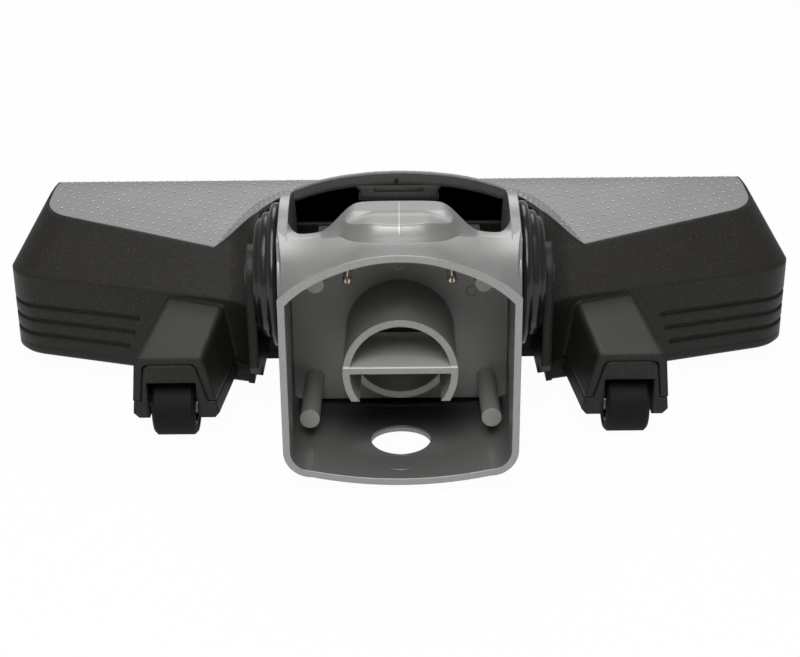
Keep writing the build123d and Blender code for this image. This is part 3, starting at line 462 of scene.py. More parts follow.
@dataclass(frozen=True)
class BrushedMetal:
    """Bare metal with fine marks along or round one axis."""

    name: str
    colour: Colour
    roughness: float
    stretch: Triple
    mark: float = 0.3
    stain: float = 6.0
    depth: float = 0.006

    def make(self) -> bpy.types.Material:
        """Build the material."""
        web = Web(self.name)
        marks = web.noise(self.mark, 3.0, self.stretch)
        stain = web.noise(self.stain, 2.0)
        tone = web.blend(marks.ease(0.25, 0.75), toned(self.colour, 0.84), self.colour)
        tone = web.blend(stain.ease(0.55, 0.85) * 0.3, tone, toned(self.colour, 0.6))
        rough = self.roughness + (marks - 0.5) * 0.2 + (stain - 0.5) * 0.12
        normal = web.relief(marks, self.depth)
        return web.finish(Base_Color=tone, Roughness=rough, Normal=normal, Metallic=1.0)


@dataclass(frozen=True)
class Nylon:
    """Stiff synthetic bristles, paler towards their tips."""

    name: str
    colour: Colour
    strand: float = 0.24
    depth: float = 0.15
    fade: Span = (15.0, 25.0)

    def make(self) -> bpy.types.Material:
        """Build the material."""
        web = Web(self.name)
        dy = web.axis(1) - ROLLER_Y * MM
        dz = web.axis(2) - ROLLER_Z * MM
        out = (dy * dy + dz * dz).power(0.5)
        strands = web.noise(self.strand, 2.0)
        tone = web.blend(out.rise(self.fade), toned(self.colour, 0.5), self.colour)
        tone = web.blend(strands.ease(0.45, 0.7) * 0.5, tone, toned(self.colour, 0.35))
        normal = web.relief(strands, self.depth)
        return web.finish(Base_Color=tone, Roughness=0.38 + strands * 0.2, Normal=normal)


@dataclass(frozen=True)
class BoardLaminate:
    """Circuit board with solder mask, tracks and dark parts standing on it."""

    name: str
    mask: Colour
    track: Colour
    part: Colour
    top_z: Span = (16.7, 17.0)
    scale: float = 160.0
    track_width: float = 0.06
    depth: float = 0.04

    def make(self) -> bpy.types.Material:
        """Build the material."""
        web = Web(self.name)
        grid = web.node("ShaderNodeTexBrick", {"offset": 0.35},
                        {"Vector": web.place, "Scale": self.scale, "Mortar Size": self.track_width,
                         "Color1": (0, 0, 0, 1), "Color2": (0, 0, 0, 1), "Mortar": (1, 1, 1, 1)})
        lines = Val(web, grid.outputs["Fac"])
        high = web.axis(2).rise(self.top_z)
        tone = web.blend(lines, self.mask, self.track)
        tone = web.blend(high, tone, self.part)
        rough = 0.3 + web.noise(0.8, 2.0) * 0.25
        normal = web.relief(lines * (1.0 - high), self.depth)
        return web.finish(Base_Color=tone, Roughness=rough, Normal=normal)


class Bench:
    """Modelling moves shared by the sub-assemblies."""

    @staticmethod
    def clear() -> None:
        """Deselect every object."""
        bpy.ops.object.select_all(action="DESELECT")

    @classmethod
    def only(cls, obj: bpy.types.Object) -> None:
        """Make one object the only selected and active one."""
        cls.clear()
        obj.select_set(True)
        bpy.context.view_layer.objects.active = obj

    @staticmethod
    def named(name: str) -> bpy.types.Object:
        """Give the active object and its mesh a name, and return the object."""
        obj = bpy.context.view_layer.objects.active
        obj.name = name
        obj.data.name = name
        return obj

    @staticmethod
    def pick_faces(obj: bpy.types.Object, test: Callable[[Vector, Vector], bool]) -> None:
        """Select the faces of a mesh in edit mode by a test on centre and normal.

        Args:
            obj: Object in edit mode.
            test: Function of a face's centre and normal that says if it is picked.
        """
        bpy.ops.mesh.select_all(action="DESELECT")
        bpy.ops.object.mode_set(mode="OBJECT")
        for face in obj.data.polygons:
            face.select = test(face.center, face.normal)
        bpy.ops.object.mode_set(mode="EDIT")
        bpy.ops.mesh.select_mode(type="FACE")

    @classmethod
    def settle(cls, obj: bpy.types.Object) -> None:
        """Put the object's place into its mesh."""
        cls.only(obj)
        bpy.ops.object.transform_apply(location=True, rotation=True, scale=True)

    @classmethod
    def smooth(cls, obj: bpy.types.Object, degrees: float = 40.0) -> None:
        """Shade smooth below an angle."""
        cls.only(obj)
        bpy.ops.object.shade_smooth_by_angle(angle=math.radians(degrees))

    @classmethod
    def outwards(cls, obj: bpy.types.Object) -> None:
        """Merge doubles and turn all faces outwards."""
        cls.only(obj)
        bpy.ops.object.mode_set(mode="EDIT")
        bpy.ops.mesh.select_all(action="SELECT")
        bpy.ops.mesh.remove_doubles(threshold=DOUBLES * MM)
        bpy.ops.mesh.normals_make_consistent(inside=False)
        bpy.ops.object.mode_set(mode="OBJECT")

    @classmethod
    def modify(cls, obj: bpy.types.Object, kind: str, **settings: object) -> None:
        """Add a modifier, set it and apply it.

        Args:
            obj: Object to change.
            kind: Type of the modifier.
            settings: Its settings.
        """
        cls.only(obj)
        bpy.ops.object.modifier_add(type=kind)
        modifier = obj.modifiers[-1]
        for key, value in settings.items():
            setattr(modifier, key, value)
        bpy.ops.object.modifier_apply(modifier=modifier.name)

    @classmethod
    def push(cls, obj: bpy.types.Object, axis: str, reach: float,
             share: Callable[[Vector], float]) -> None:
        """Push the points of a mesh along an axis, each by its own share.

        Args:
            obj: Object to shape.
            axis: Axis of the push.
            reach: Push of a full share, in millimetres.
            share: Function of a point that gives its share, from 0 to 1.
        """
        name = "push_share"
        group = obj.vertex_groups.new(name=name)
        for vertex in obj.data.vertices:
            group.add([vertex.index], min(1.0, max(0.0, share(vertex.co))), "REPLACE")
        cls.modify(obj, "DISPLACE", direction=axis, strength=reach * MM, mid_level=0.0, vertex_group=name)
        obj.vertex_groups.remove(obj.vertex_groups[name])

    @classmethod
    def repeat(cls, model: bpy.types.Object, places: Iterable[Matrix], name: str) -> bpy.types.Object:
        """Copy a modelled shape to many places and join the copies.

        Args:
            model: The shape, modelled about the origin; it is removed.
            places: Where each copy goes.
            name: Name of the joined piece.

        Returns:
            The joined piece, at the origin.
        """
        copies = []
        for place in places:
            copy = model.copy()
            copy.data = model.data.copy()
            copy.data.transform(place)
            bpy.context.scene.collection.objects.link(copy)
            copies.append(copy)
        bpy.data.objects.remove(model)
        cls.clear()
        for copy in copies:
            copy.select_set(True)
        bpy.context.view_layer.objects.active = copies[0]
        if len(copies) > 1:
            bpy.ops.object.join()
        return cls.named(name)


def ease(low: float, high: float, value: float) -> float:
    """Smooth step from 0 at low to 1 at high."""
    t = min(1.0, max(0.0, (value - low) / (high - low)))
    return t * t * (3.0 - 2.0 * t)


def stand(place: Vector, facing: Vector) -> Matrix:
    """Matrix that puts a shape on a place in metres, with its height along a direction."""
    return Matrix.Translation(place) @ UP.rotation_difference(facing).to_matrix().to_4x4()


def along(points: Sequence[Span], x: float) -> float:
    """Follow a smooth curve through points.

    Args:
        points: Points of the curve, by rising first value.
        x: Place on the curve.

    Returns:
        The curve's second value there.
    """
    x = min(points[-1][0], max(points[0][0], x))
    i = max(k for k in range(len(points) - 1) if points[k][0] <= x or k == 0)
    (x0, y0), (x1, y1) = points[i], points[i + 1]
    (xa, ya), (xb, yb) = points[max(0, i - 1)], points[min(len(points) - 1, i + 2)]
    width = x1 - x0
    t = (x - x0) / width
    m0 = (y1 - ya) / (x1 - xa) * width
    m1 = (yb - y0) / (xb - x0) * width
    return ((2 * t ** 3 - 3 * t ** 2 + 1) * y0 + (t ** 3 - 2 * t ** 2 + t) * m0
            + (3 * t ** 2 - 2 * t ** 3) * y1 + (t ** 3 - t ** 2) * m1)


def dress(node: str, material: bpy.types.Material) -> None:
    """Give a CAD node its finish.

    Args:
        node: Name of the node.
        material: The finish.
    """
    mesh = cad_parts[node].data
    mesh.materials.clear()
    mesh.materials.append(material)
    LOG.info("dressed %s in %s", node, material.name)


def place_piece(piece: bpy.types.Object, body: Body, material: bpy.types.Material) -> None:
    """Finish a new piece and let it ride on its body.

    Args:
        piece: The piece, at the origin.
        body: Body it moves with.
        material: Its finish.
    """
    piece.data.materials.clear()
    piece.data.materials.append(material)
    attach(piece, body.value)
    LOG.info("made %s with %d faces", piece.name, len(piece.data.polygons))


BLACK = SparkPlastic("black_spark_plastic", (0.0118, 0.0108, 0.0088), (0.15, 0.135, 0.11),
                     roughness=0.46, edge=2.0, shine=0.28)
SOLE_BLACK = SparkPlastic("sole_plastic", (0.026, 0.026, 0.025), (0.06, 0.06, 0.058), grain=0.8,
                          depth=0.03, roughness=0.36)
PLATE_GREY = PlatePlastic("plate_grey_plastic", (0.26, 0.26, 0.26))
# The dots are the plate's own plastic; their pale tone is a painted highlight.
PLATE_DOT_HIGHLIGHT = PlatePlastic("plate_dot_painted_highlight", (0.7, 0.7, 0.7), roughness=0.3)
# The shell takes the painted highlight on its mould line and the painted shade in its mouth.
SILVER = SilverPaint("connector_silver", (0.345, 0.345, 0.337), metal=0.75, roughness=0.40, marked=True)
DRUM_DARK = SilverPaint("drum_dark", (0.006, 0.006, 0.0055), metal=0.0, roughness=0.7)
# The insert takes painted light on its shelf.
INSERT = SilverPaint("insert_grey", (0.315, 0.318, 0.30), metal=0.25, roughness=0.45, shelf=True)
# Pale grey for the raised arrow on the insert's back wall, a painted highlight that lifts it out of the
# wall's shade.
ARROW_HIGHLIGHT_GREY = PlatePlastic("arrow_painted_highlight", (0.7, 0.7, 0.68), roughness=0.35)
RING_RUBBER = Rubber("boot_gloss_rubber", (0.010, 0.0094, 0.010), 0.2, dust=0.06, depth=0.008)
TYRE_RUBBER = Rubber("tyre_rubber", (0.0035, 0.0035, 0.0033), 0.66, dust=0.08, shine=0.2)
BELT_RUBBER = Rubber("belt_rubber", (0.014, 0.014, 0.014), 0.7)
BUMPER_RUBBER = Rubber("bumper_rubber", (0.018, 0.018, 0.018), 0.6)
DARK_MOULDED = SparkPlastic("dark_moulded_plastic", (0.035, 0.035, 0.036), (0.06, 0.06, 0.06), grain=0.9,
                            depth=0.02, roughness=0.34)
LATCH_GREY = PlatePlastic("latch_grey_plastic", (0.32, 0.32, 0.32))
SHAFT_STEEL = BrushedMetal("shaft_steel", (0.58, 0.58, 0.57), 0.3, (0.05, 1.0, 1.0))
SCREW_STEEL = BrushedMetal("screw_steel", (0.52, 0.52, 0.5), 0.34, (1.0, 1.0, 0.05))
MOTOR_STEEL = BrushedMetal("motor_steel", (0.48, 0.48, 0.46), 0.36, (1.0, 0.05, 0.05))
BRASS = BrushedMetal("contact_brass", (0.56, 0.49, 0.38), 0.24, (1.0, 0.06, 1.0))
BRISTLE = Nylon("bristle_nylon", (0.11, 0.11, 0.115))
BOARD = BoardLaminate("board_laminate", (0.012, 0.10, 0.035), (0.03, 0.2, 0.06), (0.02, 0.02, 0.022))


@dataclass
class TopPlate:
    """Inlaid grey plate with its field of raised dots and its edge over the hood."""

    pitch: float = 4.7
    turn: float = 20.0
    first: Span = (-2.35, 1.0)
    rows: int = 60
    radius: float = 0.52
    height: float = 0.2
    foot: float = 0.04
    margin: float = 2.1
    steepest: float = 0.45
    reach_x: Span = (-150.0, -1.4)
    reach_y: Span = (-30.0, 100.0)
    rim_half: int = 41
    rim_top: float = 88.0
    rim_step: float = 0.1
    rim_steps: int = 120
    rim_slack: float = 0.6
    ray_y: float = -70.0
    lip_size: Triple = (0.1, 2.0, 0.8)
    lip_shift: Triple = (0.0, 0.95, 0.22)

    def dot(self) -> bpy.types.Object:
        """Model one low dome standing on the origin.

        Returns:
            The dot.
        """
        Bench.clear()
        bpy.ops.mesh.primitive_uv_sphere_add(segments=8, ring_count=6, radius=self.radius * MM)
        bpy.ops.object.mode_set(mode="EDIT")
        bpy.ops.mesh.select_all(action="SELECT")
        bpy.ops.mesh.bisect(plane_co=(0, 0, -self.foot * MM), plane_no=(0, 0, 1), clear_inner=True,
                            use_fill=True)
        bpy.ops.mesh.select_all(action="SELECT")
        bpy.ops.transform.resize(value=(1.0, 1.0, self.height / self.radius))
        bpy.ops.object.mode_set(mode="OBJECT")
        dot = Bench.named("dot_model")
        Bench.smooth(dot, 80.0)
        return dot

    def drop(self, x: float, y: float) -> tuple[Vector, Vector] | None:
        """Find the plate below a point.

        Args:
            x: Place across the head in millimetres.
            y: Place along the head in millimetres.

        Returns:
            Point and normal on the plate, or nothing where the plate isn't the top.
        """
        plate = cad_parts["top_plate"]
        above = Vector((x * MM, y * MM, SKY * MM))
        hit, point, normal, _ = plate.ray_cast(above, DOWN)
        if not hit or normal.z < self.steepest:
            return None
        covered, over, _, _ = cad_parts["upper_housing"].ray_cast(above, DOWN)
        if covered and over.z > point.z:
            return None
        return point, normal

    def places(self) -> list[Matrix]:
        """Lay the dots out in rows along each swept rear edge.

        Returns:
            One placing matrix per dot.
        """
        found = []
        c = math.cos(math.radians(self.turn)) * self.pitch
        s = math.sin(math.radians(self.turn)) * self.pitch
        m = self.margin
        near = ((0, 0), (m, 0), (-m, 0), (0, m), (0, -m))
        for side in Side:
            for i in range(-self.rows, self.rows):
                for j in range(-self.rows, self.rows):
                    x = self.first[0] + i * c + j * s
                    y = self.first[1] - i * s + j * c
                    inside = self.reach_x[0] < x < self.reach_x[1] and self.reach_y[0] < y < self.reach_y[1]
                    if not inside:
                        continue
                    x = x * -side.value
                    if any(self.drop(x + dx, y + dy) is None for dx, dy in near):
                        continue
                    found.append(stand(*self.drop(x, y)))
        return found

    def rim_path(self) -> list[Vector]:
        """Find the upper edge of the hood's leaning rim.

        Returns:
            Points from side to side, in metres.
        """
        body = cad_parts["upper_housing"]
        path = []
        for x in range(-self.rim_half, self.rim_half + 1):
            for step in range(self.rim_steps):
                z = self.rim_top - self.rim_step * step
                hit, point, _, _ = body.ray_cast(Vector((x, self.ray_y, z)) * MM, Vector((0, 1, 0)))
                if hit and abs(point.y / MM - RIM_Y - RIM_LEAN * (z - RIM_Z)) < self.rim_slack:
                    path.append(point.copy())
                    break
        return path

    def lip(self) -> bpy.types.Object:
        """Model the plate's thin edge that lies over the hood's rim.

        Returns:
            The lip.
        """
        path = self.rim_path()
        Bench.clear()
        bpy.ops.mesh.primitive_cube_add(size=MM, location=path[0] + Vector(self.lip_shift) * MM)
        lip = Bench.named("plate_lip")
        bpy.ops.object.mode_set(mode="EDIT")
        bpy.ops.mesh.select_all(action="SELECT")
        bpy.ops.transform.resize(value=self.lip_size)
        Bench.pick_faces(lip, lambda centre, normal: normal.x > 0.9)
        for start, end in zip(path, path[1:]):
            bpy.ops.mesh.extrude_region_move(TRANSFORM_OT_translate={"value": end - start})
        bpy.ops.object.mode_set(mode="OBJECT")
        Bench.settle(lip)
        Bench.outwards(lip)
        Bench.smooth(lip, 35.0)
        return lip

    def build(self) -> None:
        """Make the lip and the dots and dress the plate."""
        grey = PLATE_GREY.make()
        place_piece(self.lip(), Body.HEAD, grey)
        dress("top_plate", grey)
        dots = Bench.repeat(self.dot(), self.places(), "plate_dots")
        # The dots take the pale grey of a painted highlight.
        place_piece(dots, Body.HEAD, PLATE_DOT_HIGHLIGHT.make())


@dataclass(frozen=True)
class RimSlab:
    """Slab that leans with the hood's rim, with a flared top and softened front edges."""

    name: str
    foot_z: float
    proud: float
    size: Triple
    flare: float = 1.0
    flare_from: float = 0.6
    soft: float = 0.2

    def make(self) -> bpy.types.Object:
        """Model the slab.

        Returns:
            The slab.
        """
        Bench.clear()
        _, deep, tall = self.size
        bpy.ops.mesh.primitive_cube_add(size=MM, location=(0, 0.5 * deep * MM, 0.5 * tall * MM))
        slab = Bench.named(self.name)
        bpy.ops.object.mode_set(mode="EDIT")
        bpy.ops.mesh.select_all(action="SELECT")
        bpy.ops.transform.resize(value=self.size)
        bpy.ops.mesh.bisect(plane_co=(0, 0, self.flare_from * tall * MM), plane_no=(0, 0, 1))
        Bench.pick_faces(slab, lambda centre, normal: normal.z > 0.9)
        bpy.ops.transform.resize(value=(self.flare, 1.0, 1.0))
        Bench.pick_faces(slab, lambda centre, normal: normal.y < -0.9)
        bpy.ops.mesh.bevel(offset=self.soft * MM, segments=3)
        bpy.ops.object.mode_set(mode="OBJECT")
        Bench.settle(slab)
        place = Vector((0.0, RIM_Y + RIM_LEAN * (self.foot_z - RIM_Z) - self.proud, self.foot_z)) * MM
        slab.data.transform(Matrix.Translation(place) @ Matrix.Rotation(-math.atan(RIM_LEAN), 4, "X"))
        Bench.outwards(slab)
        Bench.smooth(slab, 35.0)
        return slab


@dataclass
class Housing:
    """Black body of the head with its sole, wheels and fittings."""

    slabs: tuple[RimSlab, ...] = (
        RimSlab("hood_pillar", 75.6, 0.06, (30.4, 2.4, 5.4), flare=1.14),
        RimSlab("hood_pillar_bar", 78.3, 0.34, (19.2, 0.9, 1.6)))
    pip_place: Triple = (-0.9, 1.7, 82.0)
    pip_radius: float = 1.05
    pip_depth: float = 0.5
    pip_rings: tuple[Span, ...] = ((0.3, 0.0), (0.12, -0.3), (0.12, 0.3), (0.2, 0.1))

    def hood_pip(self) -> bpy.types.Object:
        """Model the small ringed pip in the middle of the hood's rim.

        Returns:
            The pip.
        """
        Bench.clear()
        bpy.ops.mesh.primitive_cylinder_add(vertices=24, radius=self.pip_radius * MM,
                                            depth=self.pip_depth * MM)
        pip = Bench.named("hood_pip")
        bpy.ops.object.mode_set(mode="EDIT")
        Bench.pick_faces(pip, lambda centre, normal: normal.z > 0.9)
        for width, rise in self.pip_rings:
            bpy.ops.mesh.inset(thickness=width * MM, depth=rise * MM)
        bpy.ops.object.mode_set(mode="OBJECT")
        pip.data.transform(stand(Vector(self.pip_place) * MM, Vector((0.0, -1.0, RIM_LEAN))))
        Bench.outwards(pip)
        Bench.smooth(pip, 35.0)
        return pip

    def build(self) -> None:
        """Make the hood's fittings, and dress the housing and what is fixed to it."""
        black = BLACK.make()
        for slab in self.slabs:
            place_piece(slab.make(), Body.HEAD, black)
        for node in ("upper_housing", "lower_housing", "air_duct"):
            dress(node, black)
        place_piece(self.hood_pip(), Body.HEAD, black)
        dress("sole_plate", SOLE_BLACK.make())
        dress("bumper_strip", BUMPER_RUBBER.make())
        dress("housing_screws", SCREW_STEEL.make())
        dark = DARK_MOULDED.make()
        pairs = {"wheel_tyre": TYRE_RUBBER.make(), "wheel_hub": dark, "wheel_axle": SHAFT_STEEL.make(),
                 "pivot_bush": dark, "roller_bearing": dark, "sole_latch": LATCH_GREY.make()}
        for side in Side:
            for node, material in pairs.items():
                dress(f"{node}_{side.word}", material)


@dataclass
class TiltJoint:
    """Rubber boots and journals either side of the connector."""

    axis_y: float = -26.0
    axis_z: float = 54.0
    segments: int = 112
    profile: tuple[Span, ...] = (
        (44.0, 9.2), (44.0, 24.4), (44.2, 25.6), (44.8, 26.6), (45.7, 27.0), (46.7, 26.9),
        (47.5, 26.3), (47.95, 25.4), (48.0, 24.6), (47.8, 24.05), (48.1, 23.65), (48.9, 23.55),
        (50.0, 23.5), (50.75, 23.2), (51.15, 22.6), (51.2, 22.0), (51.05, 21.6), (51.4, 21.25),
        (52.2, 21.1), (53.0, 20.7), (53.35, 19.9), (53.35, 9.2), (44.0, 9.2))

    def boot(self, side: Side) -> bpy.types.Object:
        """Model one boot as rings drawn out along the tilt axis.

        Args:
            side: The side it sits on.

        Returns:
            The boot.
        """
        Bench.clear()
        x, r = self.profile[0]
        place = (x * side.value * MM, self.axis_y * MM, self.axis_z * MM)
        bpy.ops.mesh.primitive_circle_add(vertices=self.segments, radius=r * MM, location=place,
                                          rotation=(0, math.pi / 2, 0))
        boot = Bench.named(f"pivot_boot_{side.word}")
        Bench.settle(boot)
        bpy.ops.object.mode_set(mode="EDIT")
        bpy.ops.mesh.select_all(action="SELECT")
        for next_x, next_r in self.profile[1:]:
            step = (next_x - x) * side.value * MM
            bpy.ops.mesh.extrude_edges_move(TRANSFORM_OT_translate={"value": (step, 0, 0)})
            centre = (next_x * side.value * MM, self.axis_y * MM, self.axis_z * MM)
            bpy.ops.transform.resize(value=(1.0, next_r / r, next_r / r), center_override=centre)
            x, r = next_x, next_r
        bpy.ops.object.mode_set(mode="OBJECT")
        Bench.outwards(boot)
        Bench.smooth(boot, 50.0)
        return boot

    def build(self) -> None:
        """Make the boots and dress the journals."""
        gloss = RING_RUBBER.make()
        journal = INSERT.make()
        for side in Side:
            boot = self.boot(side)
            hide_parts(f"pivot_bellows_{side.word}")
            place_piece(boot, Body.HEAD, gloss)
            dress(f"pivot_journal_{side.word}", journal)


@dataclass
class Tongue:
    """Outer form of the connector's tongue: a low deck, a swell at its front and an oval pad.

    Heights are worked out from how far a place lies across, counted from the middle, and along.
    """

    top_z: float = 84.9
    half: float = 40.2
    ends_y: Span = (-34.5, -78.0)
    front: tuple[Span, ...] = (
        (0.0, -34.6), (8.0, -34.8), (12.0, -35.3), (15.0, -36.6), (18.0, -39.2), (20.7, -42.2),
        (24.2, -45.2), (28.0, -46.9), (32.0, -47.3), (36.0, -46.9), (38.5, -45.0), (40.2, -42.4))
    deck_z: float = 80.7
    deck_fall: float = 0.005
    deck_end: Span = (21.0, 27.0)
    deck_y: float = -48.0
    swell_side: Span = (15.0, 28.5)
    swell_rear: Span = (46.0, 60.0)
    pad_y: float = -50.0
    pad_top: Triple = (19.5, 13.0, 19.0)
    pad_foot: Triple = (22.0, 22.0, 24.0)
    pad_drop: float = 2.6
    pad_side: Span = (8.0, 22.0)
    pad_curve: float = 1.12
    melt: float = 2.4
    ear_from: float = 35.5
    ear_run: float = 4.7
    ear_x: float = 42.0
    bead_height: float = 0.14
    bead_half: float = 0.5
    bead_front: Span = (35.5, 36.5)
    bead_rear: Span = (66.0, 69.0)
    lift: float = 0.12
    sink: float = 0.5
    sink_share: float = 6.0
    sink_from: Span = (50.0, 58.0)
    grid: tuple[int, int] = (164, 60)
    base_z: float = 60.0
    pull_back: float = 20.0
    pull_up: float = 40.0
    wall: float = 0.9

    def roof(self, x: float, y: float) -> float:
        """Height of the shell's roof at a place, all in millimetres."""
        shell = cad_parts["connector_shell"]
        hit, point, _, _ = shell.ray_cast(Vector((x, y, SKY)) * MM, DOWN)
        return point.z / MM if hit else self.base_z

    def pad_share(self, across: float, y: float) -> float:
        """Rise of the oval pad.

        Args:
            across: Distance from the middle, in millimetres.
            y: Place along, in millimetres.

        Returns:
            One on the pad's top, falling to zero at its foot.
        """
        top, foot = (math.hypot(across / side, (y - self.pad_y) / (rear if y < self.pad_y else fore))
                     for side, rear, fore in (self.pad_top, self.pad_foot))
        left = max(0.0, 1.0 - foot)
        return 1.0 if top <= 1.0 else left / (left + top - 1.0)

    def height(self, x: float, y: float) -> float:
        """Height of the outer form.

        Args:
            x: Place across, in millimetres.
            y: Place along, in millimetres.

        Returns:
            The height in millimetres.
        """
        across = abs(x)
        bare = self.roof(x, min(y, self.deck_y)) if across > self.deck_end[0] else 0.0
        low = self.deck_z - self.deck_fall * across * across
        low += (bare - low) * ease(*self.deck_end, across)
        swell = (1.0 - ease(*self.swell_side, across)) * (1.0 - ease(*self.swell_rear, -y))
        pad = self.pad_share(across, y)
        crown = self.top_z - self.pad_drop * ease(*self.pad_side, across)
        dome, oval = low + swell * (self.top_z - low), low + pad ** self.pad_curve * (crown - low)
        meet = max(0.0, 1.0 - abs(dome - oval) / self.melt)
        shared = min(swell, pad)
        high = max(dome, oval) + self.melt * meet * meet * shared * (1.0 - shared)
        if across > self.ear_from:
            ear = self.roof(math.copysign(self.ear_x, x), y)
            high += (ear - high) * min(1.0, (across - self.ear_from) / self.ear_run) ** 2
        bead = self.bead_height * max(0.0, 1.0 - across / self.bead_half)
        bead *= ease(*self.bead_front, -y) * (1.0 - ease(*self.bead_rear, -y))
        sunk = self.sink * (1.0 - min(1.0, self.sink_share * max(swell, pad))) * ease(*self.sink_from, -y)
        return high + self.lift + bead - sunk

    def make(self) -> bpy.types.Object:
        """Model the tongue's skin as a grid drawn to its outline, raised and given its wall.

        Returns:
            The skin over the tongue.
        """
        front, rear = self.ends_y
        Bench.clear()
        bpy.ops.mesh.primitive_grid_add(x_subdivisions=self.grid[0], y_subdivisions=self.grid[1], size=1.0,
                                        location=(0, (front + rear) * 0.5 * MM, self.base_z * MM))
        skin = Bench.named("tongue_skin")
        bpy.ops.object.mode_set(mode="EDIT")
        bpy.ops.mesh.select_all(action="SELECT")
        bpy.ops.transform.resize(value=(2.0 * self.half * MM, (front - rear) * MM, 1.0))
        bpy.ops.object.mode_set(mode="OBJECT")
        Bench.settle(skin)

        def back(point: Vector) -> float:
            """Share of the pull that brings the front edge to its outline."""
            fade = (point.y / MM - rear) / (front - rear)
            return fade * (front - along(self.front, abs(point.x) / MM)) / self.pull_back

        def up(point: Vector) -> float:
            """Share of the pull that raises a point to the form."""
            return (self.height(point.x / MM, point.y / MM) - self.base_z) / self.pull_up

        Bench.push(skin, "Y", -self.pull_back, back)
        Bench.push(skin, "Z", self.pull_up, up)
        Bench.modify(skin, "SOLIDIFY", thickness=self.wall * MM, offset=-1.0)
        Bench.outwards(skin)
        Bench.smooth(skin, 60.0)
        return skin


@dataclass
class Connector:
    """Tilting silver connector with the suction pipe and contacts in its mouth."""

    tongue: Tongue = field(default_factory=Tongue)
    back_y: float = -43.0
    mark_height: float = 0.16
    ring_width: float = 0.35
    ring_place: Span = (26.4, 52.9)
    ring_radius: float = 2.1
    eject_place: Span = (-89.0, 30.0)
    eject_radius: float = 5.6
    arrow_z: float = 61.4
    arrow_half: float = 2.3
    arrow_slope: float = 24.0
    arrow_width: float = 0.45
    arrow_spare: float = 0.6
    arrow_soft: float = 0.1

    def ring_mark(self, name: str, place: Vector, facing: Vector, radius: float) -> bpy.types.Object:
        """Model a thin raised ring left by the mould.

        Args:
            name: Name of the piece.
            place: Middle of the ring on its wall, in metres.
            facing: Direction the wall faces.
            radius: Outer radius in millimetres.

        Returns:
            The ring.
        """
        Bench.clear()
        bpy.ops.mesh.primitive_circle_add(vertices=40, radius=radius * MM, fill_type="NGON")
        ring = Bench.named(name)
        bpy.ops.object.mode_set(mode="EDIT")
        bpy.ops.mesh.select_all(action="SELECT")
        bpy.ops.mesh.inset(thickness=self.ring_width * MM, depth=0.0)
        bpy.ops.mesh.delete(type="FACE")
        bpy.ops.mesh.select_all(action="SELECT")
        bpy.ops.mesh.extrude_region_move(
            TRANSFORM_OT_translate={"value": (0, 0, 2.0 * self.mark_height * MM)})
        bpy.ops.object.mode_set(mode="OBJECT")
        ring.data.transform(stand(place - facing.normalized() * self.mark_height * MM, facing))
        Bench.outwards(ring)
        return ring

    def floor_ring(self) -> bpy.types.Object:
        """Model the faint circle of an ejector on the mouth's floor.

        Returns:
            The circle.
        """
        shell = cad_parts["connector_shell"]
        _, point, normal, _ = shell.ray_cast(Vector((0.0, *self.eject_place)) * MM, DOWN)
        return self.ring_mark("floor_ring", point, normal, self.eject_radius)

    def chevron(self) -> bpy.types.Object:
        """Model the small raised arrow that points down on the back wall.

        Returns:
            The arrow.
        """
        Bench.clear()
        slope = math.radians(self.arrow_slope)
        leg = self.arrow_half / math.cos(slope)
        tip = Vector((0.0, self.back_y, self.arrow_z)) * MM
        middle = tip + Vector(((leg - self.arrow_spare) * 0.5 * MM, 0, 0))
        bpy.ops.mesh.primitive_cube_add(size=MM, location=middle)
        arrow = Bench.named("back_wall_arrow")
        bpy.ops.object.mode_set(mode="EDIT")
        bpy.ops.mesh.select_all(action="SELECT")
        bpy.ops.transform.resize(value=(leg + self.arrow_spare, 2.0 * self.mark_height, self.arrow_width))
        Bench.pick_faces(arrow, lambda centre, normal: normal.y < -0.9)
        bpy.ops.mesh.bevel(offset=self.arrow_soft * MM, segments=2)
        bpy.ops.mesh.select_all(action="SELECT")
        bpy.ops.transform.rotate(value=slope, orient_axis="Y", center_override=tip)
        bpy.ops.mesh.select_all(action="SELECT")
        bpy.ops.mesh.bisect(plane_co=tip, plane_no=(1, 0, 0), clear_inner=True)
        bpy.ops.object.mode_set(mode="OBJECT")
        Bench.settle(arrow)
        Bench.modify(arrow, "MIRROR", merge_threshold=0.02 * MM)
        Bench.outwards(arrow)
        return arrow

    def build(self) -> None:
        """Make the tongue and the mould marks, and dress the connector."""
        silver = SILVER.make()
        insert = INSERT.make()
        black = BLACK.make()
        brass = BRASS.make()
        dress("connector_shell", silver)
        dress("duct_insert", insert)
        dress("swivel_drum", DRUM_DARK.make())
        place_piece(self.tongue.make(), Body.CONNECTOR, silver)
        for side in Side:
            dress(f"pin_sleeve_{side.word}", black)
            dress(f"contact_pin_{side.word}", brass)
        x, z = self.ring_place
        wall = Vector((x, self.back_y, z)) * MM
        ring = self.ring_mark("mould_ring", wall, Vector((0, -1, 0)), self.ring_radius)
        place_piece(ring, Body.CONNECTOR, insert)
        place_piece(self.floor_ring(), Body.CONNECTOR, silver)
        # The arrow's pale grey is a painted highlight.
        place_piece(self.chevron(), Body.CONNECTOR, ARROW_HIGHLIGHT_GREY.make())


